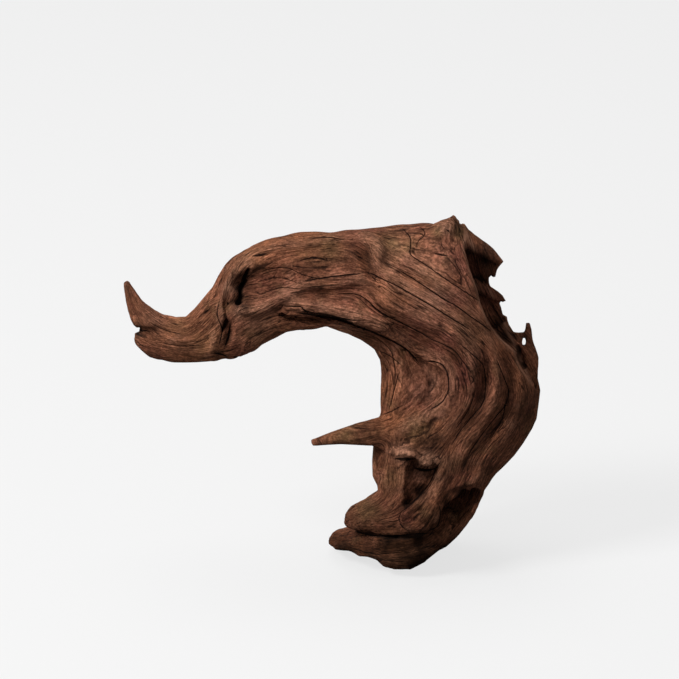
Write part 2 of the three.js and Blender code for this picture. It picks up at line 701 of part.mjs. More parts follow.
class EdgeQueue {
  constructor() {
    this.items = [];
  }

  push(item) {
    const { items } = this;
    let place = items.push(item) - 1;
    while (place > 0) {
      const parent = (place - 1) >> 1;
      if (items[parent].cost <= item.cost) {
        break;
      }
      items[place] = items[parent];
      place = parent;
    }
    items[place] = item;
  }

  pop() {
    const { items } = this;
    const top = items[0];
    const last = items.pop();
    let place = 0;
    while (items.length > 0) {
      let child = 2 * place + 1;
      if (child >= items.length) {
        break;
      }
      if (child + 1 < items.length && items[child + 1].cost < items[child].cost) {
        child += 1;
      }
      if (last.cost <= items[child].cost) {
        break;
      }
      items[place] = items[child];
      place = child;
    }
    if (items.length > 0) {
      items[place] = last;
    }
    return top;
  }
}

// The ten sums that measure squared distance to a set of planes

function planeSums(normal, offset, weight) {
  const n = [normal.x, normal.y, normal.z, offset];
  const sums = [];
  for (let i = 0; i < 4; i += 1) {
    for (let j = i; j < 4; j += 1) {
      sums.push(n[i] * n[j] * weight);
    }
  }
  return sums;
}

function bend(q, p) {
  const squares = q[0] * p.x * p.x + q[4] * p.y * p.y + q[7] * p.z * p.z + q[9];
  const mixed = q[1] * p.x * p.y + q[2] * p.x * p.z + q[5] * p.y * p.z;
  return squares + 2 * (mixed + q[3] * p.x + q[6] * p.y + q[8] * p.z);
}

// The point that bends the planes least, held a little towards the middle of the edge

function flattestPoint(q, start, end) {
  const middle = start.clone().add(end).multiplyScalar(0.5);
  const hold = HOLD_TO_MIDDLE * (q[0] + q[4] + q[7]) + 1e-9;
  const planes = new THREE.Matrix3().set(
    q[0] + hold, q[1], q[2],
    q[1], q[4] + hold, q[5],
    q[2], q[5], q[7] + hold,
  );
  const pull = middle.clone().multiplyScalar(hold).sub(new THREE.Vector3(q[3], q[6], q[8]));
  return pull.applyMatrix3(planes.invert());
}

class Thinning {
  constructor(points, faces) {
    this.points = points;
    this.faces = faces;
    this.around = points.map(() => new Set());
    this.sums = points.map(() => new Array(10).fill(0));
    this.stamps = new Int32Array(points.length);
    this.queue = new EdgeQueue();
    faces.forEach((face, f) => this.addPlane(face, f));
    faces.forEach(([a, b, c]) => [[a, b], [b, c], [c, a]].forEach(([v, w]) => v < w && this.offer(v, w)));
  }

  addPlane(face, f) {
    const normal = faceNormal(this.points, face);
    const area = normal.length() / 2;
    normal.normalize();
    const plane = planeSums(normal, -normal.dot(this.points[face[0]]), area);
    face.forEach((v) => {
      this.around[v].add(f);
      plane.forEach((value, k) => { this.sums[v][k] += value; });
    });
  }

  neighbours(v) {
    const result = new Set();
    this.around[v].forEach((f) => this.faces[f].forEach((w) => result.add(w)));
    result.delete(v);
    return result;
  }

  offer(a, b) {
    const q = this.sums[a].map((value, k) => value + this.sums[b][k]);
    const point = flattestPoint(q, this.points[a], this.points[b]);
    const cost = bend(q, point) + SHORT_EDGES_FIRST * this.points[a].distanceToSquared(this.points[b]);
    this.queue.push({ a, b, point, cost, stamp: this.stamps[a] + this.stamps[b] });
  }

  keepsFacing(v, other, point) {
    return [...this.around[v]].every((f) => {
      const face = this.faces[f];
      if (face.includes(other)) {
        return true;
      }
      const before = faceNormal(this.points, face);
      const moved = face.map((w) => (w === v ? point : this.points[w]));
      const after = faceNormal(moved, [0, 1, 2]);
      const longest = Math.max(...moved.map((p, i) => p.distanceToSquared(moved[(i + 1) % 3])));
      const turned = before.dot(after) <= MOST_TURN * before.length() * after.length();
      return !turned && after.length() > SLIMMEST * longest;
    });
  }

  canDraw({ a, b, point, stamp }) {
    if (this.around[a].size === 0 || this.around[b].size === 0 || stamp !== this.stamps[a] + this.stamps[b]) {
      return false;
    }
    const near = this.neighbours(a);
    const shared = [...this.neighbours(b)].filter((v) => near.has(v));
    return near.has(b) && shared.length === 2 && this.keepsFacing(a, b, point) && this.keepsFacing(b, a, point);
  }

  draw({ a, b, point }) {
    this.points[a] = point;
    this.sums[b].forEach((value, k) => { this.sums[a][k] += value; });
    [...this.around[b]].forEach((f) => {
      if (this.faces[f].includes(a)) {
        this.faces[f].forEach((v) => this.around[v].delete(f));
        this.faces[f] = null;
      } else {
        this.faces[f] = this.faces[f].map((v) => (v === b ? a : v));
        this.around[a].add(f);
      }
    });
    this.around[b].clear();
    this.stamps[a] += 1;
    this.neighbours(a).forEach((v) => this.offer(a, v));
  }

  run(wanted) {
    let left = this.faces.length;
    while (left > wanted && this.queue.items.length > 0) {
      const edge = this.queue.pop();
      if (this.canDraw(edge)) {
        this.draw(edge);
        left -= 2;
      }
    }
    return this.faces.filter((face) => face !== null);
  }
}


// Flat resting spots and the small hole through the fin

const wasm = await Module();
wasm.setup();

function solidOf({ points, faces }) {
  const order = new Map();
  const vertProperties = [];
  const triVerts = faces.flat().map((v) => {
    if (!order.has(v)) {
      order.set(v, order.size);
      vertProperties.push(points[v].x, points[v].y, points[v].z);
    }
    return order.get(v);
  });
  return new wasm.Manifold(new wasm.Mesh({
    numProp: 3,
    vertProperties: new Float32Array(vertProperties),
    triVerts: new Uint32Array(triVerts),
  }));
}

function solidOfGeometry(geometry) {
  const merged = mergeVertices(geometry.deleteAttribute('normal').deleteAttribute('uv'), 1e-4);
  return new wasm.Manifold(new wasm.Mesh({
    numProp: 3,
    vertProperties: merged.attributes.position.array,
    triVerts: new Uint32Array(merged.index.array),
  }));
}

function ground() {
  const slab = new THREE.BoxGeometry(600, 400, 80);
  slab.translate(0, 0, -40);
  return solidOfGeometry(slab);
}

function finHole() {
  const bore = new THREE.CylinderGeometry(1, 1, 60, 12);
  bore.scale(HOLE.halfWidth, 1, HOLE.halfHeight);
  bore.rotateX(-LEAN * RADIANS);
  const middle = seen(HOLE.across, HOLE.up, HOLE.back);
  bore.translate(middle.x, middle.y, middle.z);
  return solidOfGeometry(bore);
}

function geometryOf(solid) {
  const mesh = solid.getMesh();
  const geometry = new THREE.BufferGeometry();
  const positions = new Float32Array(mesh.numVert * 3);
  for (let v = 0; v < mesh.numVert; v += 1) {
    positions.set(mesh.vertProperties.subarray(v * mesh.numProp, v * mesh.numProp + 3), v * 3);
  }
  geometry.setAttribute('position', new THREE.BufferAttribute(positions, 3));
  geometry.setIndex([...mesh.triVerts]);
  return geometry;
}

const rough = relax(relax(outerSkin(surfaceOf(sampleGrid(GRID_MIN, GRID_MAX)))));
const faces = new Thinning(rough.points, rough.faces).run(TRIANGLES);
const kept = new Set(faces.flat());
const points = rough.points.map((point, v) => (kept.has(v) ? settle(point) : point));
const standing = solidOf({ points, faces }).subtract(ground()).subtract(finHole());

const geometry = geometryOf(standing);
geometry.translate(-CENTRE_ACROSS, -CENTRE_BACK, 0);
geometry.computeVertexNormals();

const wood = new THREE.MeshStandardMaterial({ color: 0x6e4637, roughness: 0.85, metalness: 0 });
const driftwood = new THREE.Mesh(geometry, wood);
driftwood.name = 'driftwood';

const part = new THREE.Group();
part.name = 'part';
part.add(driftwood);

export default part;
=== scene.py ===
import math
import bpy
import numpy as np
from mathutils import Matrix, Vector


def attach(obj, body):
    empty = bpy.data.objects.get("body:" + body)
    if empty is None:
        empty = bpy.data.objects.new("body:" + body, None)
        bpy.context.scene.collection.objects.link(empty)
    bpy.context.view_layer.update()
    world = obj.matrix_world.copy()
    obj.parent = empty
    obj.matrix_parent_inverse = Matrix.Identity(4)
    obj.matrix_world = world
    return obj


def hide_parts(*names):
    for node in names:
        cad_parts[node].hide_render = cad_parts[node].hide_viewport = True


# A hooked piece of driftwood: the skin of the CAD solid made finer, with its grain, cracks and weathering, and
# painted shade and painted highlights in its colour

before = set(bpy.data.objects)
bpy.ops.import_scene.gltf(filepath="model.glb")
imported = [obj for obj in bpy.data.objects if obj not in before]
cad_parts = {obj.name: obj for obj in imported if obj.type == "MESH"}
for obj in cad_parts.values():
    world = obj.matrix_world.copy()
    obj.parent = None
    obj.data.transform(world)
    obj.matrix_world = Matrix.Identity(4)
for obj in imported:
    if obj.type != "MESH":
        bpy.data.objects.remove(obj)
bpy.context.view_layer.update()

# the drawing plane leans back from upright; lengths on it are across, up and back, in mm
drawing = {"lean": 22.0, "planeFront": 18.0, "centreAcross": 1.1, "centreBack": 1.25}

camera = {
    "lens": 300.0, "sensor": 36.0, "elevation": 22.0, "mmPerPixel": 0.9, "pixels": 679,
    "originPixel": (332, 572),    # where across and up are 0 in the picture
}

skin = {
    "voxel": 1.5,           # mm, the spacing of the finer skin
    "mostTriangles": 190000,
    "settleSteps": 3,       # how often points are put back on the body's surface
    "relaxShare": 0.5,
    "footNear": 0.8, "footFade": 3.0,    # mm above the floor
    "outlineRounding": 3.0, "tornRounding": 1.2, "tornFrom": 112.0, "tornBlend": 10.0,
    "sheetBack": 23.5, "foldSkirt": 1.6, "foldFade": 14.0, "foldTurn": 7.0, "foldBlend": 18.0,
    "broadLumps": 1.3, "smallLumps": 0.7,
}
holeInFin = {"across": 173.5, "up": 207.5, "halfWidth": 1.7, "halfHeight": 4.0, "front": -10.0, "rear": 40.0}

carvedSkin = [
    ("scoop", 3, 0), ("slot", 2, 0.8), ("armDish", 3, 0), ("undercut", 2.5, 0.8), ("elbowPit", 2, 0.8),
    ("valley", 7, 0), ("bowl", 6, 0), ("cave", 3.5, 0.8), ("pocket", 2, 0.8), ("earDent", 2.5, 0),
    ("backHollow", 7, 0), ("finGap", 2, 0.8),
]
standingOut = [
    ("horn", 5), ("lowerLobe", 3.5), ("knob", 3.5), ("leftLip", 2), ("rightLip", 2), ("spike", 8), ("peak", 5),
]

# each row is across, up, back, half width and half depth, in mm
limbs = {
    "arm": [(104.5, 258.5, 7, 52, 41.5), (61, 263, 4.5, 48.5, 39.5), (25, 263.5, 2, 45.5, 38),
        (-20, 262, 0, 45, 36), (-56, 254, 0, 43.5, 34), (-84.5, 234, 0, 38.5, 32.5),
        (-114.5, 214, 0, 28, 27), (-144, 209.5, 0, 22, 21.5), (-162, 208, 0, 17, 17)],
    "horn": [(-129.5, 209, 0, 20, 20), (-155, 215, 0, 18, 16), (-170, 230.5, -2, 12, 11.5),
        (-178, 245, -3.5, 7.5, 7.5), (-183.5, 258.5, -4.5, 4, 4)],
    "trunk": [(54, 261, 4.5, 49.5, 41.5), (97, 254, 7, 55, 43), (126, 213.5, 7, 48.5, 45),
        (139.5, 168.5, 7, 48.5, 47), (124, 126, 7, 56, 50.5), (95.5, 84.5, 7, 52, 52),
        (68.5, 47, 7, 43, 50.5), (56.5, 33.5, 5.5, 32.5, 45)],
    "lowerLobe": [(97, 36, -3.5, 23.5, 34), (70, 25, -9, 24.5, 36), (43, 20.5, -3.5, 18, 30.5),
        (18, 24.5, 12.5, 12, 23.5), (5.5, 25, 23.5, 9, 16)],
    "upperLobe": [(79, 57.5, -16, 25, 30.5), (47.5, 52, -14.5, 17, 25), (27, 49.5, -7, 13.5, 18),
        (20, 47.5, -3.5, 9, 12.5)],
    "heel": [(83.5, 60.5, 20, 36, 30.5), (95.5, 39.5, 34, 21.5, 18)],
    "column": [(7, 242, 14.5, 25, 21.5), (36, 228.5, 14.5, 23.5, 23.5), (61, 200, 14.5, 20, 25),
        (72, 164, 14.5, 29, 25), (68.5, 128, 12.5, 25, 27), (63, 96.5, 7, 25, 30.5), (63, 65, 0, 27, 34)],
    "spike": [(63, 128, 2, 17, 18), (39.5, 125.5, 0, 13.5, 13), (7, 120.5, -5.5, 7.5, 7.5),
        (-16, 116, -10, 4, 4)],
    "ear": [(56, 108, 11, 19, 21.5), (55, 88, 9, 19, 23.5)],
    "backWall": [(117, 306, 27, 14.5, 6.5), (138.5, 279, 32.5, 18, 6.5), (144, 245, 34, 18, 6.5),
        (158.5, 210.5, 30.5, 18, 6.5)],
    "fin": [(155.5, 218, 20, 16, 6.5), (171, 189, 12.5, 18, 6.5), (174.5, 162, 7, 18, 11),
        (164.5, 137, 3.5, 16, 14.5)],
    "roof": [(108, 304, 5.5, 10, 18), (122.5, 299, 11, 7, 18), (138.5, 290, 20, 5.5, 14.5),
        (151, 281.5, 27, 3.5, 9)],
    "ledge": [(128, 259, 21.5, 5.5, 8), (143, 251, 27, 4.5, 7), (158.5, 243.5, 29.5, 2, 3.5)],
    "leftLip": [(55, 109, -32.5, 3.5, 5.5), (64, 108.5, -38.5, 4, 6.5), (74, 106, -40.5, 3.5, 5.5)],
    "rightLip": [(77.5, 103, -41.5, 3.5, 5.5), (85.5, 100.5, -42.5, 4.5, 6.5),
        (95.5, 100, -40.5, 4.5, 5.5)],
    "knob": [(94.5, 75.5, -39.5, 6.5, 9), (86.5, 61, -45, 11.5, 12.5), (76.5, 48.5, -46, 15.5, 12.5),
        (68.5, 40.5, -43, 8, 9)],
    "finSpike": [(175.5, 192.5, 15.5, 7, 6), (176.5, 207, 15, 5, 5.5), (177, 218, 14, 3, 4),
        (176.5, 224.5, 14, 1.5, 2.5)],
    "peak": [(101, 305, 0, 12.5, 14.5), (106, 312.5, -1, 7.5, 10), (109, 318.5, -1, 2.5, 5)],
}
hollows = {
    "scoop": [(-79, 254, -36, 13.5, 20), (-63, 259, -39.5, 19, 20), (-42.5, 263.5, -41.5, 16, 16),
        (-25, 267.5, -42.5, 11, 9)],
    "slot": [(-74.5, 269, -29, 1.5, 18), (-80, 254.5, -29, 3.5, 24.5), (-83.5, 241, -29, 2, 20)],
    "armDish": [(-27, 280, -39.5, 9, 11.5), (-6.5, 282.5, -41.5, 14.5, 19), (14.5, 280, -41.5, 13.5, 19),
        (23.5, 275.5, -39.5, 9, 14.5)],
    "undercut": [(-45, 231.5, -30.5, 2, 7), (-29, 227.5, -25, 4.5, 13), (-6.5, 226.5, -25, 7, 16),
        (18, 223, -25, 6, 16), (36, 217, -28, 3, 6), (52, 207, -33.5, 1, 2)],
    "elbowPit": [(-92, 241, -27, 1, 8), (-93.5, 229.5, -28, 2, 10), (-98, 218, -28, 1, 7)],
    "valley": [(59.5, 302.5, -27, 7, 7), (52, 288, -34, 8, 8), (48.5, 275.5, -39.5, 6.5, 5.5)],
    "bowl": [(56, 210.5, -39.5, 10, 21.5), (68.5, 193.5, -41.5, 22.5, 29), (80, 170, -43, 30.5, 36),
        (71, 148.5, -43, 21.5, 29), (54, 131.5, -39.5, 8, 16)],
    "cavity": [(108, 282.5, 5.5, 18, 27), (124, 254, 5.5, 18, 29), (140.5, 222.5, 5.5, 18, 27),
        (154, 198, 3.5, 14.5, 21.5), (165.5, 180, 2, 7, 11)],
    "cave": [(127, 70, -30.5, 7, 27), (115, 58.5, -34, 13.5, 38), (102.5, 41.5, -34, 11, 30.5)],
    "pocket": [(65, 95.5, -43, 9, 14.5), (78.5, 86.5, -45.5, 17, 25), (77.5, 72, -46.5, 14.5, 23.5),
        (69.5, 59.5, -48.5, 7, 14.5)],
    "earDent": [(43, 104.5, -12.5, 6, 12.5), (43, 92, -12.5, 5.5, 11.5)],
    "backHollow": [(108, 236, 57.5, 7, 11), (128, 204.5, 59.5, 11.5, 18), (135, 164, 63, 13.5, 20),
        (120.5, 119, 65, 11, 16), (104.5, 92, 63, 6.5, 10)],
    "crease": [(14.5, 36, -7, 1.5, 13.5), (35, 32.5, -27, 1.5, 10), (59.5, 30.5, -40.5, 1.5, 9),
        (83, 32.5, -42.5, 1, 7)],
    "notch": [(-187, 217, 0, 3.5, 36), (-174.5, 217.5, 0, 1.5, 36), (-165.5, 217, 0, 1, 36)],
    "finGap": [(167.5, 201.5, 7, 2, 12.5), (169.5, 193.5, 5.5, 3, 12.5), (173, 183.5, 3.5, 2, 9)],
}

# folds on the drawing plane: width, height and line, in mm
frontFolds = [
    (8, 6.5, [(18, 302.5), (29, 300.5), (38, 292.5), (42.5, 281.5), (47.5, 271), (58.5, 261), (74, 251),
        (92, 241), (109, 230.5), (121.5, 217), (128.5, 200), (129.5, 180)]),
    (6.5, 5, [(-47, 244), (-23.5, 238.5), (-4.5, 236), (13.5, 231.5), (32.5, 227.5), (48.5, 220.5),
        (65, 208), (75.5, 200), (90, 195.5), (102.5, 189), (110.5, 178), (111.5, 164), (105.5, 149.5),
        (87.5, 140.5), (68.5, 131.5), (54, 121.5)]),
    (6, 3.5, [(-97, 241), (-89, 264.5), (-75.5, 279), (-57.5, 286), (-43, 290), (-25, 295), (-6.5, 299),
        (13.5, 299)]),
    (6.5, 4.5, [(-95.5, 225), (-84.5, 233), (-72, 238.5), (-59.5, 242), (-48.5, 248.5), (-36, 254),
        (-23.5, 259), (-2, 262), (21.5, 264.5), (38, 258.5)]),
    (8, 3, [(59.5, 285.5), (77.5, 272), (100, 257.5), (120.5, 242), (138.5, 219.5), (147.5, 192.5),
        (148.5, 164), (137.5, 137), (119.5, 111.5), (106, 92)]),
    (7, 3, [(47, 245), (65, 235), (85.5, 226), (104.5, 214), (118, 200), (124, 179), (122.5, 156.5),
        (110, 137), (97, 119), (90, 108)]),
    (6.5, -3, [(57.5, 273.5), (72, 261), (93.5, 246.5), (113.5, 233), (128, 212.5), (137, 189), (137, 164),
        (128, 142), (114.5, 124)]),
    (6.5, -3, [(34, 241), (54, 230.5), (75.5, 219.5), (95.5, 209), (108, 198), (116, 180), (114.5, 160),
        (103.5, 144), (88, 133)]),
    (7, -2.5, [(83, 282.5), (102.5, 270), (124, 252), (142, 228.5), (155.5, 200), (159.5, 169), (151, 142),
        (135, 115), (124, 95.5)]),
    (6.5, 2.5, [(83, 300.5), (97, 288), (113.5, 272), (131.5, 252), (151, 221.5), (167.5, 191), (173, 162),
        (164, 133), (146, 108)]),
    (5.5, -3, [(48.5, 203.5), (47.5, 173), (48.5, 141.5)]),
    (4.5, 2.5, [(59.5, 203.5), (63, 182), (57.5, 156.5), (53, 132.5)]),
    (6.5, 4.5, [(103.5, 104.5), (98, 84.5), (88, 70), (79, 61)]),
    (4.5, 3.5, [(52, 110.5), (65, 110.5), (75.5, 105.5), (90, 101), (102.5, 101)]),
    (6.5, 3.5, [(120.5, 79), (133, 84.5), (146, 97)]),
    (5.5, -3.5, [(-95.5, 248.5), (-91, 232), (-93.5, 214), (-99, 196)]),
    (5.5, 3.5, [(-104.5, 248.5), (-100, 230.5), (-103.5, 210.5), (-110, 192.5)]),
    (6.5, -3, [(-156.5, 225), (-137, 218), (-119, 214)]),
    (6.5, 3, [(-155, 210.5), (-131.5, 206), (-113.5, 210.5)]),
    (5.5, 2.5, [(47, 77.5), (39.5, 65), (23.5, 56)]),
    (5.5, -3, [(56.5, 92), (52, 74), (41.5, 59.5)]),
    (6.5, 3, [(21.5, 14.5), (47, 9), (74, 14.5), (97, 29)]),
]
backFolds = [
    (9, 3.5, [(-137, 218), (-83, 254), (-29, 282.5), (34, 290), (88, 279), (124, 245), (144, 200),
        (147.5, 155), (131.5, 119), (106, 74)]),
    (7, -3.5, [(-101, 222.5), (-47, 258.5), (7, 270), (61, 258.5), (97, 227), (108, 182), (101, 128),
        (83.5, 83)]),
    (8, 3.5, [(-74, 227), (-20, 239.5), (34, 234), (70, 204.5), (83.5, 164), (79, 119), (68.5, 74)]),
]
outline = [
    (-187, 261.5), (-184, 262.5), (-181, 261.5), (-178, 256.5), (-174.5, 251), (-169, 245), (-161.5, 240.5),
    (-155, 235.5), (-150.5, 233), (-140.5, 229.5), (-131, 229.5), (-123, 237), (-116.5, 245), (-107, 256.5),
    (-103, 264.5), (-97, 275.5), (-91, 284.5), (-82, 291.5), (-66.5, 299), (-47, 304.5), (-29, 307),
    (-2, 306.5), (18, 308), (43, 310), (61, 312.5), (83.5, 314.5), (97, 316), (102.5, 317.5),
    (106.5, 319.5), (108.5, 321), (111.5, 317), (117, 316), (122.5, 308), (127, 304), (133.5, 299.5),
    (144.5, 291.5), (148, 287.5), (154.5, 279.5), (148.5, 272.5), (147, 265), (141.5, 268.5),
    (141.5, 261.5), (142.5, 257.5), (149.5, 253), (154, 249), (158, 242.5), (150, 244.5), (152.5, 238),
    (154.5, 232), (158, 230), (159.5, 223), (164, 216), (168.5, 215.5), (175, 216), (175, 222), (176, 226),
    (178.5, 223), (182.5, 207.5), (186.5, 193), (186, 174.5), (188.5, 163.5), (187, 148.5), (185, 137),
    (181.5, 129.5), (172.5, 116), (164, 104), (148, 87.5), (137.5, 73), (137, 68.5), (129.5, 52),
    (120.5, 38.5), (113, 29.5), (104, 21), (96.5, 18), (84.5, 7), (71, -0.5), (56, 0.5), (47, 3.5),
    (40.5, 8.5), (32.5, 12), (25, 12.5), (16, 16), (3, 17.5), (-3, 22), (-3, 27.5), (1, 35), (11, 45),
    (11, 50.5), (16.5, 58), (24, 61.5), (42, 71), (41.5, 76.5), (37, 85), (35.5, 99.5), (36.5, 112.5),
    (8.5, 114), (-12.5, 112.5), (-17.5, 113), (-20.5, 119), (-2, 126.5), (20.5, 134.5), (43, 139),
    (44, 144), (43.5, 168.5), (43, 190), (38.5, 200), (27, 208), (14.5, 214), (-2, 216), (-15.5, 217.5),
    (-29, 217), (-40.5, 215.5), (-51.5, 209.5), (-63, 204), (-69.5, 197), (-74.5, 194), (-80.5, 190.5),
    (-83.5, 188), (-95.5, 188.5), (-108.5, 190), (-123, 189), (-143, 188.5), (-157.5, 190.5), (-164, 192.5),
    (-170.5, 198.5), (-176, 203.5), (-179, 207.5), (-179, 212.5), (-181.5, 218.5), (-172, 216.5),
    (-176.5, 218.5), (-179, 224.5), (-182, 229), (-185, 241), (-187, 255.5),
]
openSide = [
    (97, 344), (117, 321.5), (119.5, 306), (118, 290), (123.5, 272), (130.5, 252), (133, 240.5),
    (139.5, 225), (151, 210.5), (164, 199), (167.5, 187), (180, 169), (188, 160), (241, 155), (241, 380),
    (97, 380),
]

# lines of equal grain: how far across the grain each one lies, and its line
grainLines = [
    (0, [(-181, 204.5), (-170, 198), (-155, 190), (-119, 189), (-83, 190), (-63, 203.5), (-38, 215),
        (-2, 215), (27, 207), (42.5, 192.5), (44, 155), (43, 144)]),
    (14.5, [(-178, 212.5), (-164, 206), (-141.5, 200), (-114.5, 200), (-90, 209), (-69.5, 222.5),
        (-54, 230.5), (-38, 236)]),
    (45, [(-183.5, 260), (-177.5, 240.5), (-167.5, 225), (-155, 215), (-132.5, 209), (-114.5, 218),
        (-99, 234)]),
    (83, [(-181, 262), (-174.5, 251), (-162, 240.5), (-150.5, 233), (-131.5, 229.5), (-117, 245),
        (-103.5, 264.5), (-91, 284.5), (-66.5, 299), (-29, 307), (43, 309.5), (102.5, 317), (110.5, 299),
        (118, 279), (128, 255.5), (138.5, 228.5), (151, 210.5), (165.5, 196), (178, 174.5), (181, 155),
        (176.5, 137), (164, 115), (147.5, 93.5), (137, 72), (126, 50.5), (108, 29), (88, 14.5), (61, 9),
        (34, 14.5), (3.5, 21.5)]),
    (16, [(-44, 239.5), (-23.5, 237.5), (-4.5, 234), (13.5, 229.5), (32.5, 226), (48.5, 219.5), (65, 208),
        (75.5, 199), (90, 193.5), (102.5, 185.5), (108, 174.5), (106, 160), (97, 148.5), (83, 141.5),
        (66.5, 134), (50.5, 128), (27, 122.5), (-6.5, 117)]),
    (27, [(-77.5, 234), (-63, 239.5), (-48.5, 245), (-32.5, 248.5), (-14.5, 250), (7, 250), (25, 247.5),
        (44, 233), (62, 224), (81, 215), (97, 206), (109, 200), (118, 189), (124, 178), (126, 162),
        (120.5, 146), (108, 128), (97, 113.5), (83.5, 99), (72, 78.5), (59.5, 57.5), (38.5, 48.5),
        (13.5, 47)]),
    (40.5, [(-86.5, 245), (-78.5, 254), (-63, 255.5), (-42.5, 259), (-25, 262), (-2, 263), (21.5, 264.5),
        (38, 263), (53, 254), (71, 243), (90, 232), (108, 220.5), (120.5, 209), (133, 192.5),
        (138.5, 174.5), (137.5, 160), (129.5, 143), (117, 127), (108, 113.5), (101, 92), (90, 72),
        (77.5, 54), (63, 41.5), (43, 38), (18, 38)]),
    (54, [(-83, 263), (-74, 273.5), (-57.5, 283.5), (-38, 288), (-6.5, 290), (16, 290), (29, 282.5),
        (38, 275.5), (47, 270), (61, 263), (79, 254), (101.5, 241), (122.5, 227), (138.5, 209), (151, 189),
        (158.5, 165.5), (155, 149.5), (143, 135), (128.5, 115), (120.5, 101), (113.5, 83), (101, 60.5),
        (88, 38), (72, 29), (47.5, 24.5), (20.5, 28), (1, 28)]),
    (68.5, [(-99, 245), (-90, 273.5), (-74, 290), (-47, 297), (-11, 299), (20.5, 300.5), (36, 297),
        (47, 288), (61, 279), (79, 269), (100, 256.5), (120.5, 243), (137, 225), (149.5, 203.5),
        (162, 183.5), (169, 164), (165.5, 144), (153, 122.5), (138.5, 104.5), (128, 83), (115, 57.5),
        (97, 30.5), (79, 20.5), (56.5, 16), (29.5, 20), (5.5, 24.5)]),
    (95.5, [(111.5, 321.5), (120.5, 302.5), (126, 279), (135, 254), (146, 230.5), (160, 212.5),
        (174.5, 198), (186.5, 177.5), (189, 162), (184.5, 138.5), (171, 113.5), (155.5, 93.5), (144, 77.5),
        (133, 54), (117, 33.5), (97, 17), (72, 1), (47.5, 4.5), (25, 12.5), (2, 18)]),
    (5.5, [(53, 198), (54, 177.5), (50.5, 155), (47.5, 140.5)]),
    (10, [(65, 196), (68.5, 177.5), (65, 156.5), (54, 137)]),
    (7, [(43, 112.5), (39.5, 96.5), (43, 78.5), (41.5, 67.5), (25, 58.5), (12.5, 50.5)]),
    (18, [(59.5, 112.5), (57.5, 92), (56, 72), (43, 57.5), (18, 47.5)]),
]

# drying cracks, and dark lines of painted shade along fold edges, the undercut, the knob and the notch: width
# and line
cracksAndShadeLines = [
    (1, [(7, 250), (25, 248.5), (44, 233), (62, 224), (81, 214.5), (90, 209), (108, 200.5), (116, 191),
        (125, 179)]),
    (1, [(114.5, 205), (126.5, 195), (135, 186.5), (137.5, 175.5), (137.5, 163), (135, 152), (128.5, 143),
        (116, 128), (108, 115)]),
    (1, [(147, 191.5), (153, 177.5), (158.5, 163), (155.5, 150.5), (144, 136), (128.5, 115),
        (121.5, 102.5)]),
    (0.9, [(30.5, 270), (41.5, 259)]),
    (1.4, [(-26, 261), (-4.5, 264.5), (13.5, 266.5), (26, 268)]),
    (1.1, [(-100, 245), (-102.5, 231.5), (-98, 218), (-101.5, 203.5)]),
    (1, [(60.5, 180), (56.5, 165.5), (53, 149.5)]),
    (1.3, [(-41.5, 238.5), (-28, 238.5), (-22.5, 234), (-4.5, 231.5), (13.5, 227), (25, 226)]),
    (1.3, [(83, 190), (97, 188), (103.5, 179), (104.5, 164.5), (99, 153), (88, 146)]),
    (1.4, [(16, 36), (35, 31.5), (59.5, 31.5), (72, 33.5), (88, 34)]),
    (1, [(-25, 281), (-12.5, 281.5), (1, 281)]),
    (2.2, [(-69.5, 283.5), (-57.5, 285.5)]),
    (1.6, [(-89, 193.5), (-83.5, 193.5)]),
    (2, [(-115, 232), (-110, 236)]),
    (1.8, [(102.5, 307), (104.5, 305)]),
    (1.1, [(124, 176.5), (127, 173), (123.5, 169)]),
    (2.6, [(-187, 218), (-176.5, 218), (-165.5, 217)]),
    (3, [(57.5, 101.5), (65, 101), (73, 101.5)]),
    (2.4, [(75, 93), (84, 91), (93, 92.5)]),
    (1.6, [(-106, 197), (-99, 196), (-93.5, 193.5)]),
    (1.2, [(-29, 279), (-16, 282.5), (-3.5, 279)]),
    (0.9, [(-20, 299), (-5.5, 300.5), (11, 298)]),
    (0.9, [(-155, 207), (-137, 203.5), (-115, 204.5)]),
    (0.8, [(-164, 225), (-150.5, 218), (-135, 214)]),
    (1, [(18, 132.5), (30.5, 138.5), (48.5, 142), (63, 149.5)]),
    (0.9, [(110.5, 128), (122.5, 146), (128, 162)]),
    (0.9, [(142, 119), (153, 138.5), (156.5, 158.5)]),
    (0.8, [(77.5, 311.5), (83, 303.5), (76.5, 296), (75.5, 290.5)]),
    (1.5, [(92, 286), (97, 284.5), (103.5, 283.5)]),
    (0.8, [(97, 299), (98, 292.5), (102.5, 288)]),
    (1.2, [(98, 100), (93.5, 92), (89, 80), (82, 71), (73, 62), (65, 55)]),
    (1, [(95.5, 62), (98, 51.5), (95.5, 40.5), (86.5, 36)]),
    (1.1, [(63, 54), (60.5, 47.5), (63, 40.5), (70, 36)]),
    (2, [(-91, 222.5), (-92.5, 212.5), (-95.5, 203.5)]),
    (0.8, [(124, 303.5), (133, 298), (146, 292.5)]),
    (0.8, [(-63, 270), (-43, 273.5), (-25, 266.5), (-12.5, 263.5)]),
    (0.7, [(-66.5, 261), (-47, 264.5), (-29, 259)]),
    (0.7, [(-63, 250), (-45, 255.5), (-29, 254)]),
    (0.8, [(16, 20), (39.5, 14.5), (65, 17)]),
    (1.1, [(63, 308), (69.5, 300.5), (70, 292.5), (69.5, 286), (74, 281.5), (86.5, 273.5), (99, 264.5),
        (112.5, 255.5), (130.5, 244)]),
    (1.2, [(61, 270), (72, 263.5), (86.5, 254), (99, 245.5), (111.5, 238.5), (122.5, 230.5), (142, 217)]),
    (1.3, [(31.5, 270), (45, 263), (56.5, 257.5), (77.5, 245.5), (97, 234), (111.5, 225), (122.5, 218.5)]),
    (1.6, [(18, 222.5), (36, 216), (54, 208), (68.5, 199), (77.5, 189)]),
    (2.2, [(-30.5, 233), (-11, 230.5), (7, 227), (21.5, 221.5)]),
    (0.8, [(39.5, 200), (52, 194.5), (63, 185.5)]),
]

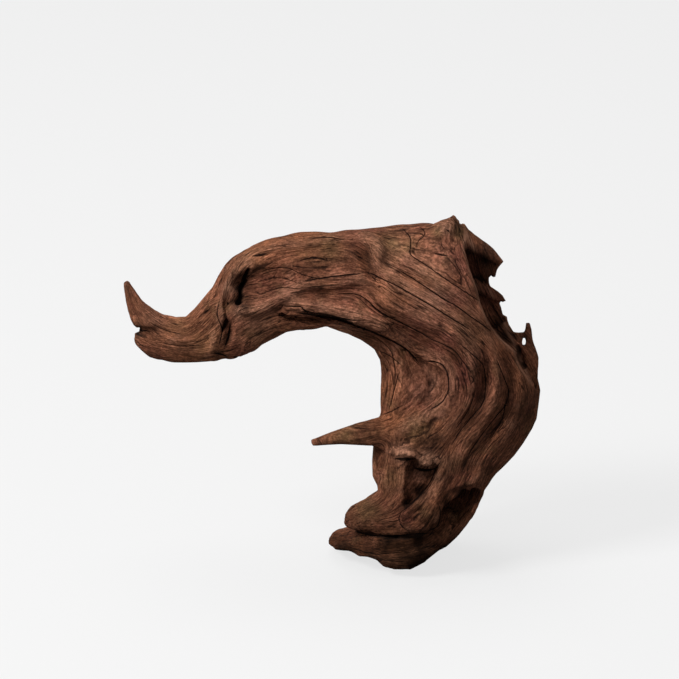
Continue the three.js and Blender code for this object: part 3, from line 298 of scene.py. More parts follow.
# places where the wood is crumbly: across, up, radius and height of the lumps, in mm
roughSpots = [
    (65, 106.5, 10, 1.5), (84, 100.5, 11, 1.5), (78, 53, 17, 1.3), (86, 68, 10, 0.8), (30, 52, 16, 0.5),
    (55, 20, 30, 0.5), (100, 60, 12, 0.7), (-92, 235, 16, 0.8), (112, 316, 8, 0.4), (44, 82, 10, 0.6),
    (-80, 254, 16, 0.9), (113, 56, 18, 0.9), (75, 88, 18, 0.9), (-15, 228, 20, 0.6), (20, 224, 18, 0.6),
    (-175, 218, 12, 0.5), (172, 200, 14, 0.5), (56, 208, 12, 0.5),
]

# places with bigger knots
gnarlSpots = [
    (79, 52, 18, 2.4), (-90, 245, 18, 1.2), (68, 104, 10, 1.2), (88, 101, 10, 1.2), (45, 20, 34, 0.8),
    (25, 50, 18, 0.9), (76, 84, 16, 1.4), (114, 60, 18, 1.2), (45, 90, 12, 0.9), (112, 312, 10, 0.8),
]

# weathered patches, with painted shade (dark, black), painted light (light) and places where the painted
# hollow shade is taken away (lit): across, up, radius in mm, and how strong
patches = {
    # dark: painted shade on the trunk's right, the foot, the pocket and in fold valleys
    "dark": [(151, 204, 20, 0.3), (169, 155, 31, 0.6), (131, 137, 32, 0.45), (129, 204, 23, 0.4),
        (106, 92, 18, 0.8), (90, 112, 18, 0.9), (108, 111, 16, 0.25), (140, 93, 11, 0.5), (88, 14, 36, 1),
        (43, 14, 31, 1), (12, 14, 22, 0.9), (70, 9, 27, 1), (72, 92, 11, 0.6), (84, 88, 11, 0.65),
        (80, 73, 8, 1), (71, 65, 6, 0.6), (103, 54, 14, 0.3), (77, 50, 18, 0.6), (39, 45, 23, 0.35),
        (151, 227, 11, 0.3), (142, 294, 8, 0.4), (-96, 227, 27, 0.1), (-63, 256, 14, 0.3),
        (-51, 252, 18, 0.45), (-75, 256, 8, 0.8), (-76, 247, 7, 0.8), (120, 173, 23, 0.45),
        (79, 309, 27, 0.3), (50, 290, 18, 0.3), (104, 295, 18, 0.5), (-14, 271, 20, 0.5),
        (16, 274, 16, 0.5), (31, 287, 7, 0.6), (100, 177, 13, 0.2), (138, 155, 18, 0.5)],
    # light: painted light, brightening places that face the light
    "light": [(79, 258, 40, 1), (43, 245, 31, 0.8), (12, 248, 22, 1.2), (106, 252, 23, 0.6),
        (86, 166, 20, 1), (-173, 240, 22, 1.3), (-141, 218, 22, 0.6), (-36, 234, 23, 1.2),
        (-58, 231, 13, 1.3), (-96, 204, 22, 1.3), (-78, 209, 18, 1.2), (-105, 227, 23, 0.7),
        (-2, 227, 27, 1.2), (66, 218, 31, 1.3), (79, 195, 18, 1.2), (55, 173, 20, 0.6), (12, 122, 27, 0.15),
        (40, 92, 16, 0.25), (88, 231, 23, 1.1), (128, 56, 6, 0.9), (120, 43, 6, 0.9), (133, 231, 14, 0.9),
        (141, 211, 13, 1), (169, 200, 13, 0.7), (165, 168, 14, 0.6), (66, 85, 11, 0.4), (86, 100, 8, 0.9),
        (65, 107, 7, 0.8), (97, 65, 7, 0.5), (94, 45, 4, 0.8)],
    # black: painted shade deep in the cavity, the slot, the pits, beside the knob and in the notch
    "black": [(137, 281, 8, 0.8), (140, 266, 7, 0.6), (148, 225, 7, 0.7), (133, 247, 6, 0.6),
        (126, 290, 6, 0.6), (155, 212, 6, 0.7), (169, 193, 5, 0.8), (-83, 266, 4, 0.6), (-85, 254, 5, 0.8),
        (-86, 243, 5, 0.8), (-77, 238, 4, 0.7), (-177, 218, 5, 0.6), (-103, 196, 4, 0.8),
        (-93, 212, 4, 0.9), (117, 70, 7, 0.6)],
    "plum": [(-2, 252, 27, 0.7), (-51, 258, 23, 0.8), (111, 279, 23, 0.9), (102, 213, 22, 0.8),
        (124, 177, 23, 0.8), (111, 245, 20, 0.6), (142, 245, 14, 0.5), (79, 222, 22, 0.5),
        (79, 155, 18, 0.5), (16, 299, 18, 0.4), (-78, 222, 18, 0.5), (-78, 204, 14, 0.6),
        (113, 85, 13, 0.8), (64, 279, 9, 0.6), (68, 49, 9, 0.7), (86, 302, 7, 0.5)],
    "rust": [(-60, 296, 23, 0.8), (-4, 256, 13, 0.9), (61, 256, 20, 0.8), (36, 279, 13, 0.6),
        (90, 261, 11, 0.6), (-173, 227, 20, 0.5), (49, 164, 14, 0.9), (53, 137, 13, 0.8),
        (-29, 301, 23, 0.7), (-47, 231, 20, 0.6), (79, 290, 14, 0.5), (151, 200, 9, 0.5),
        (175, 177, 16, 0.7), (5, 22, 13, 0.6), (61, 11, 23, 0.35), (97, 92, 6, 0.9), (90, 78, 6, 0.9),
        (133, 299, 11, 0.5), (-128, 209, 27, 0.4)],
    "green": [(-6, 290, 15, 0.9), (52, 290, 13, 1), (68, 293, 8, 0.9), (94, 306, 7, 0.8),
        (113, 306, 9, 0.9), (32, 54, 11, 0.9), (16, 124, 18, 0.7), (75, 128, 14, 0.9), (112, 96, 11, 0.5),
        (-69, 218, 18, 0.5), (61, 11, 18, 0.6), (88, 267, 11, 0.6), (124, 218, 16, 0.4), (12, 11, 11, 0.5),
        (55, 83, 11, 0.6), (-114, 204, 18, 0.5), (-137, 222, 11, 0.6), (-74, 279, 13, 0.6),
        (84, 54, 8, 0.6), (94, 85, 4, 0.7), (113, 51, 8, 0.6)],
    "grey": [(79, 261, 38, 0.55), (86, 166, 20, 0.6), (90, 248, 18, 0.8), (70, 279, 13, 0.5),
        (102, 310, 8, 0.8), (-164, 229, 13, 0.6), (-61, 229, 16, 0.6), (-38, 245, 14, 0.5),
        (12, 225, 14, 0.5), (65, 107, 7, 0.8), (86, 100, 8, 0.9), (76, 86, 13, 0.7), (140, 296, 7, 0.6),
        (41, 279, 8, 0.5), (-2, 240, 13, 0.5), (-92, 256, 7, 0.5), (-83, 233, 6, 0.5)],
    "pale": [(65, 107, 8, 1), (86, 100, 9, 1.3), (12, 222, 11, 0.35), (95, 85, 4, 0.5), (104, 312, 7, 0.5),
        (-74, 275, 5, 0.3), (57, 110, 5, 0.5), (41, 288, 5, 0.5), (-92, 257, 5, 0.45), (-83, 234, 5, 0.4),
        (94, 47, 4, 0.6)],
    # lit: less painted shade in hollows here
    "lit": [(-29, 231, 16, 1), (-11, 228, 22, 0.9), (12, 222, 18, 0.9), (-54, 236, 13, 0.8),
        (31, 29, 23, 0.5), (-68, 254, 11, 0.4), (-96, 229, 8, 0.9), (113, 52, 18, 0.6), (100, 53, 9, 0.8),
        (77, 83, 18, 0.85), (61, 213, 27, 1.2), (79, 191, 14, 1.2), (141, 229, 11, 0.7),
        (141, 211, 11, 0.7)],
}

# small ridges and dents on the front: width, height and line, in mm
details = [
    (3, -3, [(76.5, 194.5), (80, 190), (83, 183.5)]),
    (3, 2, [(82, 192.5), (97, 187), (105.5, 179), (107, 165.5), (97, 153), (83.5, 143)]),
    (3.5, -2.2, [(84.5, 185.5), (98, 179), (101, 167.5), (92, 156.5), (80, 148.5)]),
    (5, 4.5, [(29, 299.5), (35, 295), (40.5, 287), (41.5, 277), (48.5, 269)]),
    (6, -5, [(22.5, 292.5), (29, 287), (31.5, 279), (37, 269), (47, 260)]),
    (4, 2, [(-81, 279), (-65, 289), (-45, 294.5), (-27, 293.5)]),
    (4, -2, [(-77.5, 273.5), (-63, 282.5), (-45, 288), (-29, 288)]),
    (3, 1.6, [(-29, 260), (-12.5, 256.5), (5.5, 257.5), (25, 263.5)]),
    (3, -1.6, [(-29, 263.5), (-12.5, 261), (5.5, 262), (25, 269)]),
    (3.5, 2.4, [(-83, 279), (-89, 267.5), (-95.5, 254), (-99, 239.5), (-97, 225)]),
    (3, -2.4, [(-88, 277), (-93.5, 265.5), (-101, 252), (-104.5, 237.5)]),
    (3, 2.2, [(-85.5, 252), (-91, 243), (-90, 232), (-83.5, 219.5)]),
    (3, -2.2, [(-92, 248.5), (-96.5, 236), (-95.5, 223)]),
    (4, 2.8, [(-95.5, 233), (-83, 236.5), (-68.5, 235), (-54, 241), (-39.5, 249.5)]),
    (3, -2.8, [(-88, 240.5), (-75.5, 239.5), (-63, 243), (-50.5, 250)]),
    (3, 1.8, [(-112.5, 225), (-106, 213.5), (-106, 200)]),
    (3, -1.8, [(-107, 227), (-101.5, 214), (-101.5, 198)]),
    (3.5, 2, [(-83, 218), (-77.5, 207), (-79, 194.5)]),
    (4.5, 1.5, [(-94.5, 239.5), (-95.5, 228.5), (-99, 217)]),
    (2.5, -2.6, [(-90, 223), (-92.5, 212.5), (-95.5, 203.5)]),
    (3.2, 2.8, [(102.5, 103.5), (98, 95.5), (94.5, 87.5), (90, 76.5), (83.5, 67.5), (74.5, 60.5),
        (66.5, 52), (63, 44)]),
    (4, -3.2, [(97, 99), (92.5, 90), (88, 79), (80, 70), (71, 62), (60.5, 54), (58.5, 45)]),
    (2.5, 2, [(58.5, 110.5), (65, 108), (74, 110)]),
    (2.5, -2.5, [(59.5, 101.5), (66.5, 101), (74.5, 100), (77.5, 93.5), (86.5, 91), (95.5, 92.5)]),
    (3, -2.4, [(108, 70), (118, 74), (131.5, 75.5)]),
    (2.5, 1.6, [(106, 74), (117, 78.5), (133, 79)]),
    (2.5, 1.6, [(95.5, 62), (96.5, 52), (94.5, 41.5)]),
    (3.5, -2, [(68.5, 50.5), (75.5, 54), (84.5, 50.5)]),
    (3, -2.6, [(-187, 218.5), (-176.5, 218), (-164.5, 217), (-149.5, 216)]),
    (3.5, 2, [(-183.5, 225), (-171, 225), (-155, 221.5), (-137, 218)]),
    (3, 1.6, [(-177.5, 252), (-173.5, 239.5), (-164, 229.5), (-147.5, 221.5)]),
    (3, -1.6, [(-181, 248.5), (-178, 236.5), (-170, 227)]),
    (3, -1.6, [(-172, 252), (-165.5, 240.5), (-155, 232), (-138.5, 225)]),
    (2.5, -2, [(-106, 198), (-100, 195.5), (-92.5, 194.5)]),
    (3, -1.8, [(-29, 306), (-11, 308.5), (11.5, 309.5)]),
    (3, 1.6, [(-146, 201.5), (-128, 198), (-110, 198)]),
    (4, 2.4, [(7, 230.5), (21.5, 227), (39.5, 220.5), (56, 213.5), (70, 204.5), (81, 192.5)]),
    (3.5, -2.6, [(18, 221.5), (36, 214), (52, 206), (66.5, 196), (75.5, 187)]),
]

grain = {
    "depthShare": 0.4,      # how much the streaks change with depth beside across
    "slack": 1e-5, "plateSize": 150, "pointsAtOnce": 20000,
    "ridgeWidth": 7.0, "ridgeLength": 42.0, "ridgeHeight": 0.55,    # mm
    "fineWidth": 3.6, "fineLength": 24.0, "fineHeight": 0.32,       # mm
}
crackAndShadeLine = {"depth": 0.7, "spread": 0.75, "reach": 4, "shownTo": 3.4, "shownFade": 1.2, "taper": 6}    # mm
# how far to look out for the painted shade in hollows
hollow = {"reaches": (4.0, 10.0, 22.0), "most": 1.6}    # mm, and the most that one reach counts
knots = {"size": 4.2, "fineSize": 2.3, "fineShare": 0.6, "gnarlSize": 8}    # mm
patchEdge = {"size": 13, "fineSize": 6, "share": 0.5}    # mm
# a painted highlight along the torn rim follows openSide from one of its points to another; widths in mm
rimHighlight = {"first": 2, "last": 12, "width": 1.7, "sheetFade": 6, "across": 185, "flat": 0.15, "toFront": 1.5}
noiseCells = 24

leanCos = math.cos(math.radians(drawing["lean"]))
leanSin = math.sin(math.radians(drawing["lean"]))
boxMiddle = (drawing["centreAcross"], drawing["centreBack"], 0)


def seen(across, up, back):
    # z is the height on the plane less what the lean adds, over the cosine of the lean
    return np.stack([across, back, (up - (back + drawing["planeFront"]) * leanSin) / leanCos], -1)


def heightOnPlane(p):
    return p[:, 2] * leanCos + (p[:, 1] + drawing["planeFront"]) * leanSin


def join(a, b, softness):
    h = np.clip(0.5 + 0.5 * (b - a) / softness, 0, 1)
    return b * (1 - h) + a * h - softness * h * (1 - h)


def cut(a, b, softness):
    return -join(-a, -b, softness)


def smoothRows(rows, parts):
    # a cubic through each row, its slope half the step between the rows before and after
    rows = np.asarray(rows, float)
    padded = np.vstack([rows[:1], rows, rows[-1:]])
    slope = (padded[2:] - padded[:-2]) / 2
    rise = rows[1:] - rows[:-1]
    t = (np.arange(parts) / parts)[None, :, None]
    curve = (rows[:-1, None] + slope[:-1, None] * t
             + (3 * rise - 2 * slope[:-1] - slope[1:])[:, None] * t ** 2
             + (slope[:-1] + slope[1:] - 2 * rise)[:, None] * t ** 3)
    return np.vstack([curve.reshape(-1, rows.shape[1]), rows[-1:]])


def smoothFolds(folds):
    return [(width, rise, smoothRows(line, 3)) for width, rise, line in folds]


def makeLimb(rows):
    stations = smoothRows(rows, 2)
    middles = seen(stations[:, 0], stations[:, 1], stations[:, 2])
    stretches = []
    for i in range(len(stations) - 1):
        along = middles[i + 1] - middles[i]
        length = np.linalg.norm(along)
        along = along / length
        deep = np.array([0.0, 1.0, 0.0]) - along[1] * along
        deep /= np.linalg.norm(deep)
        reach = stations[i:i + 2, 3:].max()
        stretches.append({
            "start": middles[i], "length": length, "axes": np.stack([along, np.cross(along, deep), deep], 1),
            "from": stations[i, 3:], "to": stations[i + 1, 3:],
            "low": middles[i:i + 2].min(0) - reach, "high": middles[i:i + 2].max(0) + reach,
        })
    low = np.min([s["low"] for s in stretches], 0)
    high = np.max([s["high"] for s in stretches], 0)
    return {"stretches": stretches, "low": low, "high": high}


def boxGap(box, p):
    return np.linalg.norm(np.maximum(np.maximum(box["low"] - p, p - box["high"]), 0), axis=1)


def stretchDistance(s, p):
    # an oval whose half sizes run from one end to the other: near * (near - 1) over the slope of near
    q = (p - s["start"]) @ s["axes"]
    t = np.clip(q[:, 0] / s["length"], 0, 1)
    width = s["from"][0] + (s["to"][0] - s["from"][0]) * t
    depth = s["from"][1] + (s["to"][1] - s["from"][1]) * t
    end = np.minimum(width, depth)
    a, w, d = (q[:, 0] - t * s["length"]) / end, q[:, 1] / width, q[:, 2] / depth
    near = np.maximum(np.sqrt(a * a + w * w + d * d), 1e-3)
    slope = np.sqrt((a / end) ** 2 + (w / width) ** 2 + (d / depth) ** 2) + 1e-9
    return near * (near - 1) / slope


def limbDistance(limb, p, limit):
    result = np.array(np.broadcast_to(limit, len(p)), float)
    near = np.flatnonzero(boxGap(limb, p) <= result)
    q = p[near]
    best = np.full(len(near), 1e6)
    for s in limb["stretches"]:
        pick = np.flatnonzero(boxGap(s, q) <= np.maximum(best, 0))
        if len(pick):
            best[pick] = np.minimum(best[pick], stretchDistance(s, q[pick]))
    result[near] = best
    return result


def lineDistance(line, across, up):
    # nearest distance to the line, how far along it that is, and on which side the point lies
    square = np.full(len(across), 1e9)
    place = np.zeros(len(across))
    side = np.ones(len(across))
    walked = 0.0
    for (ax, ay), (bx, by) in zip(line[:-1], line[1:]):
        ex, ey = bx - ax, by - ay
        length = math.hypot(ex, ey)
        t = np.clip(((across - ax) * ex + (up - ay) * ey) / length ** 2, 0, 1)
        gap = (across - ax - t * ex) ** 2 + (up - ay - t * ey) ** 2
        closer = gap < square
        square = np.where(closer, gap, square)
        place = np.where(closer, walked + t * length, place)
        side = np.where(closer, np.sign(ex * (up - ay) - ey * (across - ax)), side)
        walked += length
    return np.sqrt(square), place, side, walked


def nearLine(line, across, up, reach):
    inBox = (across > line[:, 0].min() - reach) & (across < line[:, 0].max() + reach)
    return np.flatnonzero(inBox & (up > line[:, 1].min() - reach) & (up < line[:, 1].max() + reach))


def foldsHeight(folds, across, up):
    # a swell (1 - r²)² over the fold's width, fading at its ends
    height = np.zeros(len(across))
    for width, rise, line in folds:
        reach = width * skin["foldSkirt"]
        pick = nearLine(line, across, up, reach)
        if len(pick):
            gap, place, side, total = lineDistance(line, across[pick], up[pick])
            swell = np.maximum(1 - (gap / reach) ** 2, 0) ** 2
            fade = np.minimum(np.minimum(place, total - place), skin["foldFade"]) / skin["foldFade"]
            height[pick] += rise * swell * (0.25 + 0.75 * fade)
    return height


def insideLine(line, across, up):
    nearest = np.full(len(across), 1e9)
    inside = np.zeros(len(across), bool)
    for (ax, ay), (bx, by) in zip(line, line[1:] + line[:1]):
        ex, ey = bx - ax, by - ay
        t = np.clip(((across - ax) * ex + (up - ay) * ey) / (ex * ex + ey * ey), 0, 1)
        nearest = np.minimum(nearest, (across - ax - t * ex) ** 2 + (up - ay - t * ey) ** 2)
        if ey:
            inside ^= ((ay <= up) != (by <= up)) & (across < ax + (up - ay) / ey * ex)
    return np.where(inside, -1, 1) * np.sqrt(nearest)


def lumpHeight(p):
    x, y, z = p.T
    broad = np.sin(x / 9 + 1.7 * np.sin(z / 23)) * np.sin(z / 11 + 1.3 * np.sin(x / 27) + y / 13)
    small = np.sin(x / 5.3 + z / 9.1 + 1.5 * np.sin(y / 8)) * np.sin(z / 6.1 - x / 12)
    return skin["broadLumps"] * broad + skin["smallLumps"] * small


def raggedness(p):
    x, y, z = p.T
    return np.sin(x / 3.1 + 2 * np.sin(z / 4.7)) * np.sin(z / 3.3 + 1.5 * np.sin(x / 5.3) + y / 3.7)


limbShapes = {name: makeLimb(rows) for name, rows in limbs.items()}
hollowShapes = {name: makeLimb(rows) for name, rows in hollows.items()}
frontShapes, backShapes, detailShapes = smoothFolds(frontFolds), smoothFolds(backFolds), smoothFolds(details)


def bodyDistance(p):
    # signed distance to the wood's surface in mm, negative inside
    across, up, back = p[:, 0], heightOnPlane(p), p[:, 1]
    facing = np.clip((skin["foldTurn"] - back) / skin["foldBlend"], 0, 1)
    turned = np.clip((back - skin["foldTurn"]) / skin["foldBlend"], 0, 1)
    front = facing * foldsHeight(frontShapes, across, up)
    rear = turned * foldsHeight(backShapes, across, up)
    lumps = lumpHeight(p)
    uneven = raggedness(p)
    body = limbDistance(limbShapes["arm"], p, 1e6)
    body = join(body, limbDistance(limbShapes["trunk"], p, 1e6), 12) - front - rear - lumps
    openPart = np.maximum(insideLine(openSide, across, up), back - skin["sheetBack"])
    body = cut(body, -openPart, 2)

    def add(name, softness):
        return join(body, limbDistance(limbShapes[name], p, body + softness), softness)

    def carve(name, softness, ragged):
        hollow = limbDistance(hollowShapes[name], p, softness - body + ragged)
        return cut(body, -hollow - ragged * uneven, softness)

    body = add("upperLobe", 4.5)
    body = add("heel", 10)
    body = join(body, limbDistance(limbShapes["column"], p, 1e6) - 0.6 * (front + lumps), 4.5)
    body = add("ear", 5)
    body = carve("cavity", 3.5, 0.8)
    body = add("backWall", 3.5)
    body = add("fin", 2.5)
    body = add("roof", 3.5)
    body = add("ledge", 2)
    for name, softness, ragged in carvedSkin:
        body = carve(name, softness, ragged)
    for name, softness in standingOut:
        body = add(name, softness)
    body = carve("crease", 2, 0.8)
    body = carve("notch", 1, 0)
    torn = np.clip((across - skin["tornFrom"]) / skin["tornBlend"], 0, 1)
    rounding = skin["outlineRounding"] + (skin["tornRounding"] - skin["outlineRounding"]) * torn
    body = cut(body, insideLine(outline, across, up), rounding)
    body = add("finSpike", 1.5)
    hole = holeInFin
    oval = np.hypot((across - hole["across"]) / hole["halfWidth"], (up - hole["up"]) / hole["halfHeight"]) - 1
    bore = np.maximum(oval * hole["halfWidth"], np.maximum(hole["front"] - back, back - hole["rear"]))
    return np.maximum(body, -bore)


def bodySlope(p, step=0.25):
    # the gradient from four corners of a small tetrahedron
    corners = np.array([[1, -1, -1], [-1, -1, 1], [-1, 1, -1], [1, 1, 1]], float)
    total = sum(c * bodyDistance(p + c * step)[:, None] for c in corners)
    return total / (4 * step)


def latticeNoise(q, seed):
    # random numbers on a lattice, blended smoothly between its points; any number of directions
    table = np.random.default_rng(seed).random((noiseCells,) * q.shape[1])
    cell = np.floor(q).astype(int)
    t = q - cell
    t = t * t * (3 - 2 * t)
    result = np.zeros(len(q))
    for corner in range(2 ** q.shape[1]):
        bits = np.array([(corner >> k) & 1 for k in range(q.shape[1])])
        share = np.prod(np.where(bits, t, 1 - t), axis=1)
        result += share * table[tuple(((cell + bits) % noiseCells).T)]
    return result * 2 - 1


def lumpNoise(p, size, seed):
    # moved well away from the lattice's own origin
    return latticeNoise(p / size + 60, seed)


def alongGrain(p, flow, width, length, seed):
    # long ridges: quick change across the grain, slow change along it
    q = np.stack([flow / width, p[:, 1] * grain["depthShare"] / width, p[:, 0] / length, p[:, 2] / length], 1)
    return latticeNoise(q + 40, seed)


def thinPlate(centres, values):
    # the smoothest surface through the given values
    def bend(a, b):
        r2 = ((a[:, None] - b[None]) ** 2).sum(2)
        return 0.5 * r2 * np.log(r2 + 1e-6)

    scale = 1 / grain["plateSize"]
    c = centres * scale
    n = len(c)
    matrix = np.zeros((n + 3, n + 3))
    matrix[:n, :n] = bend(c, c) + grain["slack"] * np.eye(n)
    matrix[:n, n] = matrix[n, :n] = 1
    matrix[:n, n + 1:] = c
    matrix[n + 1:, :n] = c.T
    weights = np.linalg.solve(matrix, np.concatenate([values, np.zeros(3)]))

    def height(across, up):
        q = np.stack([across, up], 1) * scale
        result = np.empty(len(q))
        for start in range(0, len(q), grain["pointsAtOnce"]):
            stretch = slice(start, start + grain["pointsAtOnce"])
            result[stretch] = bend(q[stretch], c) @ weights[:n] + weights[n] + q[stretch] @ weights[n + 1:]
        return result

    return height


def grainHeight():
    centres, values = [], []
    for value, line in grainLines:
        rows = smoothRows(line, 3)
        centres.append(rows)
        values.append(np.full(len(rows), float(value)))
    return thinPlate(np.vstack(centres), np.concatenate(values))


def wholeDistance(p):
    return np.maximum(bodyDistance(p), -p[:, 2])


def settle(p):
    # a step to the surface along the slope, 1 mm at most, and the way the surface faces there
    distance = wholeDistance(p)
    slope = bodySlope(p)
    low = p[:, 2] < skin["footNear"]
    slope[low & (distance <= -p[:, 2] + 1e-6)] = (0, 0, -1)
    square = np.maximum((slope ** 2).sum(1), 0.25)[:, None]
    step = slope * -distance[:, None] / square
    length = np.linalg.norm(step, axis=1, keepdims=True)
    return p + step * np.minimum(1, 1 / np.maximum(length, 1e-9)), slope / np.sqrt(square)


def relax(p, facing, edges, share):
    # towards the middle of the neighbours, but only sideways, so thin places keep their thickness
    total = np.zeros_like(p)
    for k in range(3):
        total[:, k] = (np.bincount(edges[:, 0], p[edges[:, 1], k], len(p))
                       + np.bincount(edges[:, 1], p[edges[:, 0], k], len(p)))
    count = np.bincount(edges.ravel(), minlength=len(p))[:, None]
    move = share * (total / count - p)
    return p + move - facing * (move * facing).sum(1, keepdims=True)


def addObject(name, data):
    obj = bpy.data.objects.new(name, data)
    bpy.context.scene.collection.objects.link(obj)
    return obj


def withModifiers(obj):
    # the object's mesh with its modifiers applied; the object itself goes
    bpy.context.view_layer.update()
    mesh = bpy.data.meshes.new_from_object(obj.evaluated_get(bpy.context.evaluated_depsgraph_get()))
    bpy.data.objects.remove(obj)
    return mesh


def countTriangles(mesh):
    return sum(len(face.vertices) - 2 for face in mesh.polygons)


def makeFineSkin(solid):
    coarse = addObject("coarse", solid.data.copy())
    coarse.modifiers.new("weld", "WELD").merge_threshold = 1e-5
    remesh = coarse.modifiers.new("remesh", "REMESH")
    remesh.mode = "VOXEL"
    remesh.voxel_size = skin["voxel"] / 1000
    return withModifiers(coarse)


def thinOut(mesh, most):
    # fewer triangles where the surface is flattest
    dense = addObject("dense", mesh)
    dense.modifiers.new("fewer", "DECIMATE").ratio = min(1, most / countTriangles(mesh))
    result = withModifiers(dense)
    bpy.data.meshes.remove(mesh)
    result.name = "driftwood_skin"
    return result


def readPoints(mesh):
    flat = np.empty(len(mesh.vertices) * 3, np.float32)
    mesh.vertices.foreach_get("co", flat)
    return flat.reshape(-1, 3).astype(float) * 1000 + boxMiddle


def writePoints(mesh, p):
    flat = (p - boxMiddle) / 1000
    mesh.vertices.foreach_set("co", flat.astype(np.float32).ravel())
    mesh.update()


def writeValues(mesh, name, values):
    layer = mesh.attributes.new(name, "FLOAT", "POINT")
    layer.data.foreach_set("value", values.astype(np.float32))


def crackAndShadeLineDistance(across, up):
    # signed distance to the nearest listed line, drying cracks and lines of painted shade alike, and how
    # strongly it shows there
    signed = np.full(len(across), 9.0)
    strength = np.zeros(len(across))
    widths = np.ones(len(across))
    for width, line in cracksAndShadeLines:
        rows = smoothRows(line, 3)
        pick = nearLine(rows, across, up, crackAndShadeLine["reach"])
        if len(pick):
            gap, place, side, total = lineDistance(rows, across[pick], up[pick])
            closer = gap < np.abs(signed[pick])
            pick, gap, place, side = pick[closer], gap[closer], place[closer], side[closer]
            ends = np.clip(np.minimum(place, total - place) / min(crackAndShadeLine["taper"], total / 3), 0, 1)
            signed[pick] = gap * side
            strength[pick] = np.clip((crackAndShadeLine["shownTo"] - gap) / crackAndShadeLine["shownFade"], 0, 1)
            widths[pick] = width * (0.35 + 0.65 * ends)
    return signed, strength, widths


def paintedHollowShade(p, normals):
    # how much nearer the wood is than it would be in the open, looking out a short, middle and long way; the
    # colour is darkened by it as painted shade in hollows
    total = np.zeros(len(p))
    for reach in hollow["reaches"]:
        total += np.clip((reach - bodyDistance(p + normals * reach)) / reach, 0, hollow["most"])
    return total / len(hollow["reaches"])


def patchStrength(rows, p, across, up, seed):
    # soft spots, their edges broken up by noise
    total = np.zeros(len(p))
    for spotAcross, spotUp, radius, strength in rows:
        near = np.hypot(across - spotAcross, up - spotUp) / radius
        total = np.maximum(total, strength * np.exp(-near ** 2))
    share = patchEdge["share"]
    broken = lumpNoise(p, patchEdge["size"], seed) + share * lumpNoise(p, patchEdge["fineSize"], seed + 1)
    return np.clip(total * (1 + share * broken), 0, 1)


def spotHeight(rows, across, up):
    height = np.zeros(len(across))
    for spotAcross, spotUp, radius, rise in rows:
        near = np.hypot(across - spotAcross, up - spotUp) / radius
        height = np.maximum(height, rise * np.clip(1.4 - near, 0, 1))
    return height


def unitSlope(p):
    slope = bodySlope(p, 0.6)
    return slope / np.maximum(np.linalg.norm(slope, axis=1, keepdims=True), 1e-6)


def onPlane(p):
    # across, up and back on the drawing plane, and how far round to the front each point lies
    back = p[:, 1]
    return p[:, 0], heightOnPlane(p), back, np.clip((skin["foldTurn"] - back) / skin["foldBlend"], 0, 1)


def ridgesHeight(p, flow):
    wide = alongGrain(p, flow, grain["ridgeWidth"], grain["ridgeLength"], 5)
    fine = alongGrain(p, flow, grain["fineWidth"], grain["fineLength"], 9)
    return grain["ridgeHeight"] * wide + grain["fineHeight"] * fine


print("the finer skin")
mesh = makeFineSkin(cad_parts["driftwood"])
points = readPoints(mesh)
edges = np.empty(len(mesh.edges) * 2, np.int32)
mesh.edges.foreach_get("vertices", edges)
edges = edges.reshape(-1, 2)
points, facing = settle(points)
for turn in range(skin["settleSteps"]):
    points, facing = settle(relax(points, facing, edges, skin["relaxShare"]))

print("ridges, cracks and rough places")
across, up, back, front = onPlane(points)
flowAt = grainHeight()
darkLineGap, darkLineShow, darkLineWidth = crackAndShadeLineDistance(across, up)
groove = crackAndShadeLine["depth"] * darkLineShow * front * np.exp(-(darkLineGap / crackAndShadeLine["spread"]) ** 2)
crumbs = lumpNoise(points, knots["size"], 3) + knots["fineShare"] * lumpNoise(points, knots["fineSize"], 4)
gnarls = lumpNoise(points, knots["gnarlSize"], 6) * spotHeight(gnarlSpots, across, up)
loose = gnarls + crumbs * spotHeight(roughSpots, across, up) + foldsHeight(detailShapes, across, up)
height = ridgesHeight(points, flowAt(across, up)) + front * loose - groove
points = points + unitSlope(points) * (height * np.clip(points[:, 2] / skin["footFade"], 0, 1))[:, None]
points[:, 2] = np.maximum(points[:, 2], 0)
writePoints(mesh, points)
mesh = thinOut(mesh, skin["mostTriangles"])

print("grain, hollows and patches")
points = readPoints(mesh)
across, up, back, front = onPlane(points)
normals = unitSlope(points)
flow = flowAt(across, up)
darkLineGap, darkLineShow, darkLineWidth = crackAndShadeLineDistance(across, up)
bumps = foldsHeight(frontShapes, across, up) + foldsHeight(detailShapes, across, up)
writeValues(mesh, "flow", flow)
# distance to drying cracks and to lines of painted shade
writeValues(mesh, "darkLineGap", darkLineGap)
writeValues(mesh, "darkLineShow", darkLineShow * np.clip((front - 0.1) / 0.4, 0, 1))
writeValues(mesh, "darkLineWidth", darkLineWidth)
# painted shade in hollows, from how near the wood is around each point
writeValues(mesh, "hollow", paintedHollowShade(points, normals))
writeValues(mesh, "relief", front * bumps + ridgesHeight(points, flow))
for number, (name, rows) in enumerate(patches.items()):
    writeValues(mesh, name, patchStrength(rows, points, across, up, 20 + 2 * number))
# painted highlight along the torn rim, strongest where the surface faces the front
rimGap = np.abs(insideLine(openSide[rimHighlight["first"]:rimHighlight["last"]], across, up))
toFront = normals[:, 2] * leanSin - normals[:, 1] * leanCos
inSheet = np.clip((skin["sheetBack"] - back) / rimHighlight["sheetFade"], 0, 1) * (across < rimHighlight["across"])
rimFacing = np.clip(rimHighlight["flat"] + rimHighlight["toFront"] * toFront, 0, 1)
writeValues(mesh, "rimHighlight", np.exp(-(rimGap / rimHighlight["width"]) ** 2) * inSheet * rimFacing)
mesh.shade_smooth()
for name in ("custom_normal", "UVMap"):
    if name in mesh.attributes:
        mesh.attributes.remove(mesh.attributes[name])
wood = addObject("driftwood_wood", mesh)
print("triangles", countTriangles(mesh))

